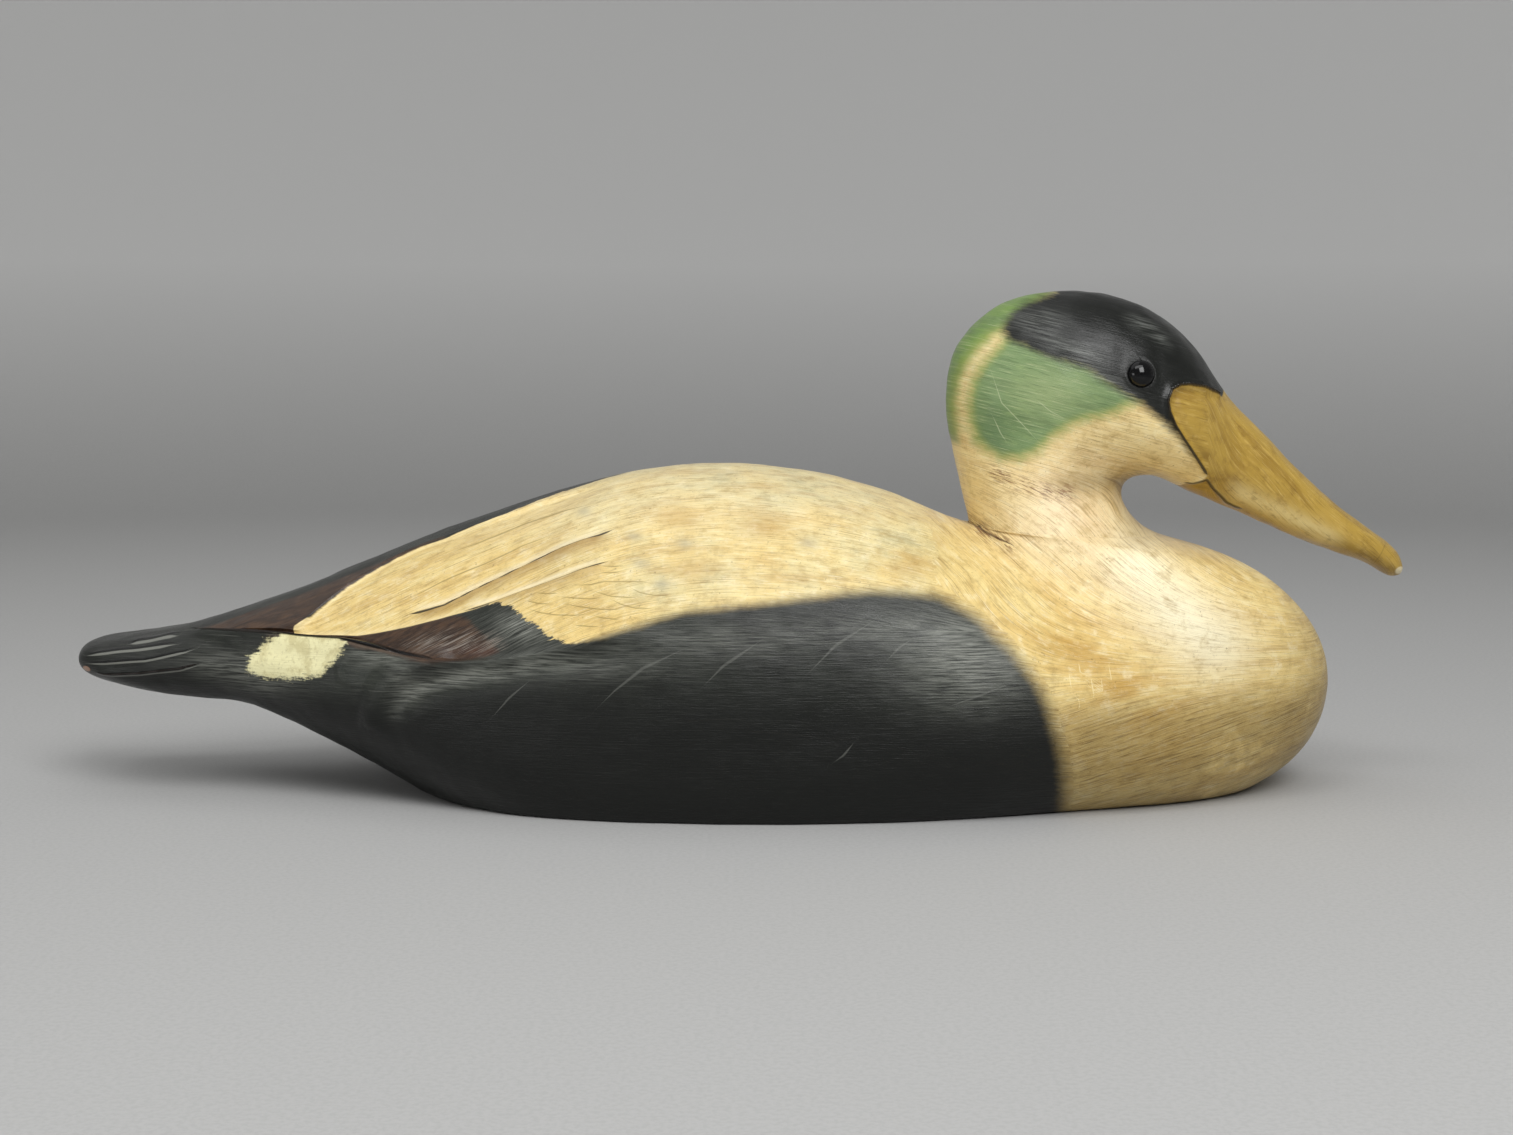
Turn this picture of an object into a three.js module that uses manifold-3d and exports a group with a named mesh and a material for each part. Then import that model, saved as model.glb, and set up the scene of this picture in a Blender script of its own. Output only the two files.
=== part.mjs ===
// Drake eider decoy: a folk carving in painted wood, facing +X and resting on its flat underside
// at Z = 0. The bird is laid out the way its carver would saw the blocks, by stations: flat cuts
// across the form, each with a top and a bottom point on the centre plane and a half width.
// Along the body the stations stand upright. Round the breast they fan out from the nape, and
// through the head they fan out from the throat. Millimetres, +Z up, right side towards -Y.

import * as THREE from 'three';
import { mergeVertices } from 'three/addons/utils/BufferGeometryUtils.js';
import Module from 'manifold-3d';

const wasm = await Module();
wasm.setup();

// Driving dimensions
const EYE_DIAMETER = 10.2;
const EYE_DEPTH = 7.2;
const EYE_SEAT = 0.6;
const GAP = 0.3;
const SLIVER = 0.02;
const WING_STEP = 2.4;
const TERTIAL_STEP = 1.6;
const EDGE_HOLLOW = 1.2;
const POCKET_HOLLOW = 2.6;
const POCKET_GROOVE_REACH = 7;
const BACK_RISE = 0.3;
const TERTIAL_RISE = 0.8;

// Where the carved steps run out along the body: x of none and of the full step at each end.
const WING_STEP_RUN = { rear: [-212, -198], front: [-52, -105] };
const TERTIAL_STEP_RUN = { rear: [-172, -160], front: [-42, -75] };
const HOLLOW_RUN = { rear: [-212, -198], front: [-30, -60] };

// Knife grooves: depth, half width, and how many straight lengths follow the drawn line.
const TERTIAL_GROOVE = { depth: 1.4, halfWidth: 1.3, lengths: 8 };
const TAIL_GROOVE = { depth: 1.0, halfWidth: 0.9, lengths: 5 };
const BORDER_GROOVE = { depth: 1.3, halfWidth: 1.3, lengths: 15 };
const GAPE_GROOVE = { depth: 0.9, halfWidth: 0.8, lengths: 6 };
const GROOVE_CLEARANCE = 0.8;
const SHALLOWEST_GROOVE = 0.2;
const WIDEST_GROOVE = 2.4;

// Paint tones and gloss
const BODY_PAINT = { color: '#cdb47f', roughness: 0.6 };
const HEAD_PAINT = { color: '#a79a62', roughness: 0.55 };
const EYE_GLASS = { color: '#0b0b0c', roughness: 0.08 };

// Mesh spacing
const BODY_ROW_SPACING = 9;
const HEAD_ROW_SPACING = 7.5;
const HEAD_LINES = 13;
const EYE_FACETS = 2;
const RING_CELLS = { back: 2, edge: 1, tertials: 4, secondaries: 2, pocket: 1, flank: 6, underside: 2 };

// Shares of the way around a section, from the top to the bottom
const EDGE_SHARE = 0.006;
const POCKET_SHARE = 0.16;
const LOWEST_FLOOR_SHARE = 0.93;

// Fineness of the searches and samples on the skin
const NORMAL_STEP = 0.02;
const HALVINGS = 40;
const SAMPLES_PER_POINT = 12;
const STEPS_PER_STATION = 20;
const SEARCH = { first: 4, last: 0.0005, stationsPerRound: 20, margin: 0.02 };

// Columns of a station
const [TOP_X, TOP_Z, BOTTOM_X, BOTTOM_Z, HALF_WIDTH, WIDEST, ABOVE, BELOW] = [0, 1, 2, 3, 4, 5, 6, 7];

// Stations of the body: top x, top z, bottom x, bottom z, half width, depth of the widest point
// as a share of the cut, and the fullness of the curve above and below it (2 is an ellipse).
// A bottom below the floor gives the flat underside, because the form is planed off at Z = 0.
const BODY_STATIONS = [
  [-254.0, 51.6, -254.0, 47.0, 8.0, 0.50, 2.0, 2.0],
  [-250.5, 55.0, -250.5, 43.5, 18.5, 0.52, 2.2, 2.2],
  [-239.0, 57.4, -239.0, 39.0, 26.0, 0.50, 2.3, 2.2],
  [-216.0, 61.0, -216.0, 34.5, 31.0, 0.48, 2.2, 2.2],
  [-190.0, 68.6, -190.0, 31.5, 37.5, 0.48, 2.0, 2.1],
  [-160.0, 79.4, -160.0, 19.0, 48.5, 0.52, 1.9, 2.1],
  [-125.0, 94.0, -125.0, 0.0, 62.5, 0.53, 1.9, 2.1],
  [-80.0, 109.8, -80.0, -20.0, 78.5, 0.54, 2.0, 2.8],
  [-32.0, 121.6, -30.0, -27.0, 87.5, 0.55, 2.1, 3.2],
  [14.0, 121.9, 25.0, -27.0, 90.0, 0.55, 2.1, 3.2],
  [47.0, 115.3, 88.0, -19.0, 89.0, 0.55, 2.1, 2.6],
  [67.0, 108.0, 137.0, -11.0, 83.0, 0.55, 2.1, 2.4],
  [78.5, 103.2, 175.0, -6.0, 74.0, 0.55, 2.1, 2.3],
  [82.7, 101.8, 203.0, 4.0, 65.0, 0.54, 2.1, 2.2],
  [84.2, 101.2, 219.5, 20.0, 60.0, 0.53, 2.1, 2.1],
  [85.2, 100.9, 225.0, 40.0, 57.0, 0.52, 2.1, 2.1],
  [86.0, 100.7, 219.0, 61.5, 53.5, 0.51, 2.1, 2.1],
  [86.6, 100.5, 200.0, 80.8, 49.0, 0.50, 2.0, 2.1],
  [87.1, 100.4, 176.5, 91.5, 45.0, 0.49, 2.0, 2.0],
  [87.5, 100.3, 159.0, 96.8, 41.5, 0.48, 2.0, 2.0],
];

// Stations of the neck, head and bill, from the joint on the body to the nail of the bill.
const HEAD_STATIONS = [
  [87.5, 100.3, 159.0, 96.8, 41.5, 0.48, 2.0, 2.0],
  [86.2, 106.5, 149.5, 103.5, 36.5, 0.48, 2.0, 2.0],
  [84.2, 115.0, 145.5, 110.0, 33.0, 0.48, 2.1, 2.0],
  [81.0, 128.5, 146.0, 115.5, 31.0, 0.46, 2.1, 2.0],
  [78.2, 147.0, 150.0, 118.4, 31.0, 0.47, 2.1, 2.1],
  [82.5, 168.4, 155.0, 119.0, 32.5, 0.50, 2.1, 2.2],
  [100.3, 184.4, 159.5, 118.2, 34.0, 0.53, 2.2, 2.3],
  [125.0, 189.0, 164.5, 116.2, 34.0, 0.56, 2.2, 2.3],
  [150.0, 184.2, 169.5, 113.7, 31.5, 0.60, 2.2, 2.3],
  [170.5, 169.8, 174.5, 111.4, 27.0, 0.66, 2.1, 2.2],
  [184.0, 151.0, 182.0, 108.3, 21.5, 0.66, 2.0, 2.1],
  [198.0, 136.2, 195.0, 102.8, 18.0, 0.58, 2.2, 2.1],
  [217.0, 117.0, 212.0, 95.3, 15.5, 0.56, 2.3, 2.1],
  [233.0, 104.0, 227.5, 89.5, 13.5, 0.56, 2.3, 2.1],
  [246.0, 94.6, 240.5, 84.8, 11.0, 0.56, 2.2, 2.1],
  [252.3, 88.8, 248.5, 80.4, 8.0, 0.54, 2.1, 2.1],
  [254.0, 84.2, 252.6, 80.4, 4.0, 0.52, 2.0, 2.0],
];

// Carver's lines drawn on the side of the body, as x and z.
const WING_EDGE = [[-209, 61], [-187, 62], [-146, 62], [-127, 59], [-109, 56], [-60, 63], [-35, 71]];
const TERTIAL_LOWER_EDGE = [[-167, 62.6], [-144, 63.5], [-107, 72], [-72, 83], [-47, 91]];
const TERTIAL_CREASE = [[-122, 73], [-94, 82], [-67, 93], [-48, 100.5]];
const POCKET_END = [[-109, 56], [-124, 52], [-131, 44], [-134, 33]];
const TAIL_FEATHER_LINES = [
  [[-247, 53.5], [-230, 55], [-213, 58]],
  [[-246, 50], [-226, 52.4], [-203, 56]],
  [[-245, 45.5], [-221, 47], [-200, 50]],
];

// Upper edge of the tertials, seen from above as x and half breadth.
const TERTIAL_UPPER_EDGE = [[-167, 39], [-154, 29], [-137, 18.5], [-113, 15.5], [-50, 16]];

// Lines of the bill, as x and z: its border on the face, and the split between the mandibles.
const BILL_BORDER = [
  [179, 148], [173, 152], [163, 154], [158, 150], [157.5, 145], [160, 139],
  [164.5, 132], [170, 126], [174.5, 120],
];
const GAPE_LINE = [[168, 117], [174, 117.8], [180, 112.8], [187, 108]];
const EYE_PLACE = [147, 158];

// Blends from 0 at `from` to 1 at `to` with an even start and end.
function fade(from, to, value) {
  return THREE.MathUtils.smoothstep((value - from) / (to - from), 0, 1);
}

// Natural cubic spline through evenly spaced rows of numbers.
function splineThrough(rows) {
  const last = rows.length - 1;
  const bends = rows.map((row) => row.map(() => 0));
  const weights = [0];
  for (let i = 1; i < last; i += 1) {
    weights[i] = 1 / (4 - weights[i - 1]);
    bends[i] = rows[i].map((value, column) => {
      const turn = 6 * (rows[i + 1][column] - 2 * value + rows[i - 1][column]);
      return (turn - bends[i - 1][column]) * weights[i];
    });
  }
  for (let i = last - 1; i > 0; i -= 1) {
    bends[i] = bends[i].map((bend, column) => bend - weights[i] * bends[i + 1][column]);
  }
  return (place) => {
    const i = THREE.MathUtils.clamp(Math.floor(place), 0, last - 1);
    const b = place - i;
    const a = 1 - b;
    return rows[i].map((value, column) => {
      const bend = (a ** 3 - a) * bends[i][column] + (b ** 3 - b) * bends[i + 1][column];
      return a * value + b * rows[i + 1][column] + bend / 6;
    });
  };
}

const bodyAt = splineThrough(BODY_STATIONS);
const headAt = splineThrough(HEAD_STATIONS);

// Point of a section on the bird's right side. `around` runs from 0 at the top to 1 at the bottom.
function sectionPoint(station, around) {
  const angle = Math.PI * around;
  const rise = Math.cos(angle);
  const fullness = rise >= 0 ? station[ABOVE] : station[BELOW];
  const along = Math.abs(rise) ** (2 / fullness);
  const out = Math.max(Math.sin(angle), 0) ** (2 / fullness);
  const widest = station[WIDEST];
  const share = rise >= 0 ? widest * (1 - along) : widest + (1 - widest) * along;
  return new THREE.Vector3(
    THREE.MathUtils.lerp(station[TOP_X], station[BOTTOM_X], share),
    -station[HALF_WIDTH] * out,
    THREE.MathUtils.lerp(station[TOP_Z], station[BOTTOM_Z], share),
  );
}

// Outward normal of the loft on the right side, from two short steps along the surface.
function normalAt(stationAt, place, around) {
  const step = NORMAL_STEP;
  const inner = THREE.MathUtils.clamp(around, step, 1 - step);
  const here = sectionPoint(stationAt(place), inner);
  const along = sectionPoint(stationAt(place + step), inner).sub(here);
  const across = sectionPoint(stationAt(place), inner + step / 2).sub(here);
  const normal = across.cross(along).normalize();
  if (around <= 0 || around >= 1) {
    normal.y = 0;
    normal.normalize();
  }
  return normal;
}

// Place along the upright body stations whose x is given.
function placeAtX(x) {
  let low = 0;
  let high = BODY_STATIONS.length - 1;
  for (let i = 0; i < HALVINGS; i += 1) {
    const middle = (low + high) / 2;
    if (bodyAt(middle)[TOP_X] < x) {
      low = middle;
    } else {
      high = middle;
    }
  }
  return low;
}

// Place around a section at a height on its side.
function aroundAtHeight(station, z) {
  const share = (station[TOP_Z] - z) / (station[TOP_Z] - station[BOTTOM_Z]);
  const widest = station[WIDEST];
  if (share <= widest) {
    const along = THREE.MathUtils.clamp(1 - share / widest, 0, 1);
    return Math.acos(along ** (station[ABOVE] / 2)) / Math.PI;
  }
  const along = THREE.MathUtils.clamp((share - widest) / (1 - widest), 0, 1);
  return 1 - Math.acos(along ** (station[BELOW] / 2)) / Math.PI;
}

// Place around a section at a half breadth on its back.
function aroundAtBreadth(station, breadth) {
  const share = THREE.MathUtils.clamp(breadth / station[HALF_WIDTH], 0, 1);
  return Math.asin(share ** (station[ABOVE] / 2)) / Math.PI;
}

// A drawn line as a function from place to around, held level past its ends.
function lineOnBody(points, toAround) {
  const knots = points.map(([x, value]) => {
    const place = placeAtX(x);
    return new THREE.Vector2(place, toAround(bodyAt(place), value));
  });
  const curve = new THREE.SplineCurve(knots);
  const samples = curve.getPoints(SAMPLES_PER_POINT * points.length);
  return (place) => {
    const next = samples.findIndex((sample) => sample.x > place);
    if (next <= 0) {
      return next === 0 ? samples[0].y : samples[samples.length - 1].y;
    }
    const [before, after] = [samples[next - 1], samples[next]];
    return THREE.MathUtils.mapLinear(place, before.x, after.x, before.y, after.y);
  };
}

const wingEdge = lineOnBody(WING_EDGE, aroundAtHeight);
const tertialLower = lineOnBody(TERTIAL_LOWER_EDGE, aroundAtHeight);
const tertialUpper = lineOnBody(TERTIAL_UPPER_EDGE, aroundAtBreadth);

// Distance in the side view from a point to a drawn line.
function distanceToLine(points, x, z) {
  const here = new THREE.Vector3(x, 0, z);
  const nearest = new THREE.Vector3();
  let best = Infinity;
  for (let i = 1; i < points.length; i += 1) {
    const start = new THREE.Vector3(points[i - 1][0], 0, points[i - 1][1]);
    const end = new THREE.Vector3(points[i][0], 0, points[i][1]);
    new THREE.Line3(start, end).closestPointToPoint(here, true, nearest);
    best = Math.min(best, nearest.distanceTo(here));
  }
  return best;
}

// Share of a carved step that stands at x, from none past its run to the full step within it.
function stepShare({ rear, front }, x) {
  return fade(...rear, x) * fade(...front, x);
}

// Knots of a body ring: where its lines lie around the section, how far the carving lifts each
// one, and how many cells lead to it. Paired knots make the cut edges of tertials and wing.
function ringKnots(place) {
  const station = bodyAt(place);
  const x = station[TOP_X];
  const cut = EDGE_SHARE;
  const apart = 3 * cut;
  const edge = wingEdge(place);
  const lower = Math.min(tertialLower(place), edge - apart);
  const upper = Math.min(tertialUpper(place), lower - apart);
  const wing = WING_STEP * stepShare(WING_STEP_RUN, x);
  const tertial = TERTIAL_STEP * stepShare(TERTIAL_STEP_RUN, x);
  const hollow = EDGE_HOLLOW * stepShare(HOLLOW_RUN, x);
  const meetsFloor = station[BOTTOM_Z] < 0 ? aroundAtHeight(station, 0) : 1;
  const floor = Math.min(meetsFloor, LOWEST_FLOOR_SHARE);
  const pocket = THREE.MathUtils.lerp(edge, floor, POCKET_SHARE);
  return [
    { around: 0, lift: 0, cells: 0 },
    { around: upper - cut, lift: BACK_RISE * wing, cells: RING_CELLS.back },
    { around: upper + cut, lift: BACK_RISE * wing + tertial, cells: RING_CELLS.edge },
    { around: lower - cut, lift: TERTIAL_RISE * wing + tertial, cells: RING_CELLS.tertials },
    { around: lower + cut, lift: TERTIAL_RISE * wing, cells: RING_CELLS.edge },
    { around: edge - cut, lift: wing, cells: RING_CELLS.secondaries },
    { around: edge + cut, lift: -hollow, cells: RING_CELLS.edge },
    { around: pocket, lift: 0, cells: RING_CELLS.pocket },
    { around: floor, lift: 0, cells: RING_CELLS.flank },
    { around: 1, lift: 0, cells: RING_CELLS.underside },
  ];
}

// Lines of a ring from top to bottom, each with its place around and its lift.
function ringLines(place) {
  const knots = ringKnots(place);
  const lines = [{ around: 0, lift: 0 }];
  for (let i = 1; i < knots.length; i += 1) {
    const { cells } = knots[i];
    for (let cell = 1; cell <= cells; cell += 1) {
      lines.push({
        around: THREE.MathUtils.lerp(knots[i - 1].around, knots[i].around, cell / cells),
        lift: THREE.MathUtils.lerp(knots[i - 1].lift, knots[i].lift, cell / cells),
      });
    }
  }
  return lines;
}

// Lift of the carving at any point of the body's side.
function liftAt(place, around) {
  const lines = ringLines(place);
  const next = Math.max(lines.findIndex((line) => line.around >= around), 1);
  const [before, after] = [lines[next - 1], lines[next]];
  return THREE.MathUtils.mapLinear(around, before.around, after.around, before.lift, after.lift);
}

// Point on the carved skin of the body's right side, planed off at the floor.
function bodyPoint(place, around, lift) {
  const point = sectionPoint(bodyAt(place), around);
  const pocket = Math.min(distanceToLine(POCKET_END, point.x, point.z) / POCKET_GROOVE_REACH, 1);
  const hollow = POCKET_HOLLOW * (1 - pocket ** 2) ** 2;
  point.addScaledVector(normalAt(bodyAt, place, around), lift - hollow);
  point.z = Math.max(point.z, 0);
  return point;
}

// Places along a loft spaced evenly by the longer of its top and bottom lines.
function evenPlaces(stationAt, lastPlace, spacing) {
  const lengths = [0];
  for (let i = 1; i <= lastPlace * STEPS_PER_STATION; i += 1) {
    const before = stationAt((i - 1) / STEPS_PER_STATION);
    const after = stationAt(i / STEPS_PER_STATION);
    const top = Math.hypot(after[TOP_X] - before[TOP_X], after[TOP_Z] - before[TOP_Z]);
    const bottom = Math.hypot(
      after[BOTTOM_X] - before[BOTTOM_X],
      after[BOTTOM_Z] - before[BOTTOM_Z],
    );
    const width = Math.abs(after[HALF_WIDTH] - before[HALF_WIDTH]);
    lengths.push(lengths[i - 1] + Math.max(top, bottom, width));
  }
  const total = lengths[lengths.length - 1];
  const rows = Math.round(total / spacing);
  const places = [0];
  for (let row = 1; row < rows; row += 1) {
    const reach = (total * row) / rows;
    const next = lengths.findIndex((length) => length >= reach);
    const passed = (reach - lengths[next - 1]) / (lengths[next] - lengths[next - 1]);
    const steps = next - 1 + passed;
    places.push(steps / STEPS_PER_STATION);
  }
  return [...places, lastPlace];
}

// Closed skin over rings of points given for the right side from top to bottom. The left side is
// the mirror image, and a fan closes each end.
function closedLoft(rightSides) {
  const rings = rightSides.map((side) => {
    const inner = side.slice(1, -1).reverse();
    const left = inner.map(({ x, y, z }) => new THREE.Vector3(x, -y, z));
    return [...side, ...left];
  });
  const around = rings[0].length;
  const positions = rings.flat().flatMap((point) => point.toArray());
  const index = [];
  for (let row = 0; row < rings.length - 1; row += 1) {
    for (let line = 0; line < around; line += 1) {
      const a = row * around + line;
      const b = row * around + ((line + 1) % around);
      index.push(a, b, b + around, a, b + around, a + around);
    }
  }
  const endRows = [rings[0], rings[rings.length - 1]];
  endRows.forEach((ring, end) => {
    const total = ring.reduce((sum, point) => sum.add(point), new THREE.Vector3());
    const centre = total.divideScalar(around);
    const hub = positions.length / 3;
    positions.push(...centre.toArray());
    const start = end * (rings.length - 1) * around;
    for (let line = 0; line < around; line += 1) {
      const a = start + line;
      const b = start + ((line + 1) % around);
      index.push(hub, end === 0 ? b : a, end === 0 ? a : b);
    }
  });
  const geometry = new THREE.BufferGeometry();
  geometry.setAttribute('position', new THREE.Float32BufferAttribute(positions, 3));
  geometry.setIndex(index);
  return geometry;
}

// Knife for a carved V line: a diamond bar that follows points on the skin. Each point brings its
// outward normal and its depth, and the bar stands clear of the skin so that it opens it fully.
function grooveCutter(stops, halfWidth) {
  const clear = GROOVE_CLEARANCE;
  const path = stops.map((stop) => stop.point);
  const rings = stops.map((stop, i) => {
    const before = path[Math.max(i - 1, 0)];
    const after = path[Math.min(i + 1, path.length - 1)];
    const along = after.clone().sub(before).normalize();
    const side = along.clone().cross(stop.normal).normalize();
    const reach = (halfWidth * (clear + stop.depth)) / Math.max(stop.depth, SHALLOWEST_GROOVE);
    const wide = Math.min(reach, WIDEST_GROOVE * halfWidth);
    const centre = stop.point.clone().addScaledVector(stop.normal, clear);
    const tall = clear + stop.depth;
    return [
      centre.clone().addScaledVector(stop.normal, tall),
      centre.clone().addScaledVector(side, wide),
      centre.clone().addScaledVector(stop.normal, -tall),
      centre.clone().addScaledVector(side, -wide),
    ];
  });
  const corners = 4;
  const positions = rings.flat().flatMap((point) => point.toArray());
  const index = [];
  for (let row = 0; row < rings.length - 1; row += 1) {
    for (let corner = 0; corner < corners; corner += 1) {
      const a = row * corners + corner;
      const b = row * corners + ((corner + 1) % corners);
      index.push(a, b, b + corners, a, b + corners, a + corners);
    }
  }
  const end = (rings.length - 1) * corners;
  index.push(0, 2, 1, 0, 3, 2, end, end + 1, end + 2, end, end + 2, end + 3);
  const geometry = new THREE.BufferGeometry();
  geometry.setAttribute('position', new THREE.Float32BufferAttribute(positions, 3));
  geometry.setIndex(index);
  return geometry;
}

// Solid block inside a closed surface.
function toSolid(geometry) {
  const bare = geometry.clone();
  bare.deleteAttribute('normal');
  bare.deleteAttribute('uv');
  const merged = mergeVertices(bare);
  return new wasm.Manifold(new wasm.Mesh({
    numProp: 3,
    vertProperties: new Float32Array(merged.attributes.position.array),
    triVerts: new Uint32Array(merged.index.array),
  }));
}

// Surface of a solid block, without the slivers that cuts leave.
function toGeometry(solid) {
  const mesh = solid.simplify(SLIVER).getMesh();
  const geometry = new THREE.BufferGeometry();
  geometry.setAttribute('position', new THREE.BufferAttribute(mesh.vertProperties, 3));
  geometry.setIndex(new THREE.BufferAttribute(mesh.triVerts, 1));
  const flat = geometry.toNonIndexed();
  flat.computeVertexNormals();
  return flat;
}

// The same surface on the other side of the centre plane, with its faces kept outward.
function mirrored(geometry) {
  const copy = geometry.clone();
  copy.scale(1, -1, 1);
  const { array } = copy.index;
  for (let i = 0; i < array.length; i += 3) {
    [array[i], array[i + 1]] = [array[i + 1], array[i]];
  }
  return copy;
}

// Cuts the same groove into the right and the left side.
function carveBothSides(solid, cutter) {
  return solid.subtract(toSolid(cutter)).subtract(toSolid(mirrored(cutter)));
}

// Carves a groove into both sides along a smooth line, run out to nothing at its two ends.
function carveLine(solid, points, groove, skinAt) {
  const line = new THREE.SplineCurve(points.map(([x, z]) => new THREE.Vector2(x, z)));
  const stops = line.getPoints(groove.lengths).map(({ x, y }, i) => {
    const { point, normal } = skinAt(x, y);
    const depth = groove.depth * Math.sqrt(Math.sin((Math.PI * i) / groove.lengths));
    return { point, normal, depth };
  });
  return carveBothSides(solid, grooveCutter(stops, groove.halfWidth));
}

// Carved skin of the body at a point of the side view.
function bodySkin(x, z) {
  const place = placeAtX(x);
  const around = aroundAtHeight(bodyAt(place), z);
  return {
    point: bodyPoint(place, around, liftAt(place, around)),
    normal: normalAt(bodyAt, place, around),
  };
}

// Skin of the head at a point of the side view, found by closing in on it step by step.
function headSkin(x, z) {
  let place = (HEAD_STATIONS.length - 1) / 2;
  let around = 0.5;
  let step = SEARCH.first;
  const miss = (p, a) => {
    const point = sectionPoint(headAt(p), a);
    return Math.hypot(point.x - x, point.z - z);
  };
  while (step > SEARCH.last) {
    const turn = step / SEARCH.stationsPerRound;
    const moves = [[step, 0], [-step, 0], [0, turn], [0, -turn]];
    const options = moves.map(([p, a]) => [
      THREE.MathUtils.clamp(place + p, 0, HEAD_STATIONS.length - 1),
      THREE.MathUtils.clamp(around + a, SEARCH.margin, 1 - SEARCH.margin),
    ]);
    const here = miss(place, around);
    const better = options.find(([p, a]) => miss(p, a) < here);
    if (better) {
      [place, around] = better;
    } else {
      step /= 2;
    }
  }
  return {
    point: sectionPoint(headAt(place), around),
    normal: normalAt(headAt, place, around),
  };
}

// One painted piece, named for what it is.
function paintedMesh(name, geometry, finish) {
  const material = new THREE.MeshStandardMaterial({ ...finish, metalness: 0 });
  const mesh = new THREE.Mesh(geometry, material);
  mesh.name = name;
  return mesh;
}

// Body: one block with the breast, back, folded wings, side pockets and tail.
const bodyPlaces = evenPlaces(bodyAt, BODY_STATIONS.length - 1, BODY_ROW_SPACING);
const bodySides = bodyPlaces.map((place) => {
  const lines = ringLines(place);
  return lines.map(({ around, lift }) => bodyPoint(place, around, lift));
});
let body = toSolid(closedLoft(bodySides));
body = carveLine(body, TERTIAL_CREASE, TERTIAL_GROOVE, bodySkin);
TAIL_FEATHER_LINES.forEach((line) => {
  body = carveLine(body, line, TAIL_GROOVE, bodySkin);
});

// Head: neck, head and bill in one block, seated on the body with a hair of filler between.
const headPlaces = evenPlaces(headAt, HEAD_STATIONS.length - 1, HEAD_ROW_SPACING);
const headSides = headPlaces.map((place, row) => {
  const station = headAt(place);
  return Array.from({ length: HEAD_LINES + 1 }, (_, line) => {
    const point = sectionPoint(station, line / HEAD_LINES);
    point.z += row === 0 ? GAP : 0;
    return point;
  });
});
let head = toSolid(closedLoft(headSides));
head = carveLine(head, BILL_BORDER, BORDER_GROOVE, headSkin);
head = carveLine(head, GAPE_LINE, GAPE_GROOVE, headSkin);

// Eyes: flattened glass domes set in sockets that are a little wider.
function eyeGeometry(allowance) {
  const geometry = new THREE.IcosahedronGeometry(1, EYE_FACETS);
  const radius = EYE_DIAMETER / 2 + allowance;
  geometry.scale(radius, radius, EYE_DEPTH / 2 + allowance);
  const { point, normal } = headSkin(...EYE_PLACE);
  const facing = new THREE.Quaternion().setFromUnitVectors(new THREE.Vector3(0, 0, 1), normal);
  geometry.applyQuaternion(facing);
  geometry.translate(...point.addScaledVector(normal, -EYE_SEAT).toArray());
  return mergeVertices(geometry.deleteAttribute('normal').deleteAttribute('uv'));
}
head = carveBothSides(head, eyeGeometry(GAP));

const decoy = new THREE.Group();
decoy.name = 'eider_decoy';
decoy.add(
  paintedMesh('body', toGeometry(body), BODY_PAINT),
  paintedMesh('head', toGeometry(head), HEAD_PAINT),
  paintedMesh('eye_right', eyeGeometry(0), EYE_GLASS),
  paintedMesh('eye_left', mirrored(eyeGeometry(0)), EYE_GLASS),
);

export default decoy;
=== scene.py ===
"""A drake eider decoy, carved in wood and painted in oils, resting on its flat underside.

The bird faces +X with its right side towards the camera at -Y. Shapes are worked out in
millimetres, as a carver would mark them, and turned to metres where a mesh is made.
"""
import math

import bpy
import numpy as np
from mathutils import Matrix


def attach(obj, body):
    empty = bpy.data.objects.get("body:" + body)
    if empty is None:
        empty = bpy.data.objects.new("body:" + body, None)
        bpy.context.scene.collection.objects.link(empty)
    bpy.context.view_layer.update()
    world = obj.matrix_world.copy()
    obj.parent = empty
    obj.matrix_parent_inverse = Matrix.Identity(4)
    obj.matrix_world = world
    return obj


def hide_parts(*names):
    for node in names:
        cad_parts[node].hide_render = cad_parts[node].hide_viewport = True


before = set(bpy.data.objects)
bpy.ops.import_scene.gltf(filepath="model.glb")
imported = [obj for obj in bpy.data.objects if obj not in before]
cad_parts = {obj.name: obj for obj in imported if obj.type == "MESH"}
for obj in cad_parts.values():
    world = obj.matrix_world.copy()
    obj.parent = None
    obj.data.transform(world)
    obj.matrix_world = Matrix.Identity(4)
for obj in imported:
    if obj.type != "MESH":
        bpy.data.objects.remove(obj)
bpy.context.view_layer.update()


# Viewpoint
# A camera with a 54 mm lens on a frame 36 mm wide, square to the bird's right side and 0.87 m from
# its middle plane. It looks from just below the height of the crown, tipped down a little.

view_lens = bpy.data.cameras.new("viewpoint")
view_lens.sensor_fit = "HORIZONTAL"
view_lens.sensor_width = 36
view_lens.lens = 54.06
view_lens.clip_start = 0.01
viewpoint = bpy.data.objects.new("viewpoint", view_lens)
viewpoint.location = (0.00556, -0.872, 0.167)
TIPPED_DOWN = 5.5
viewpoint.rotation_euler = (math.radians(90 - TIPPED_DOWN), 0, 0)
bpy.context.collection.objects.link(viewpoint)
bpy.context.scene.camera = viewpoint
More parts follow.
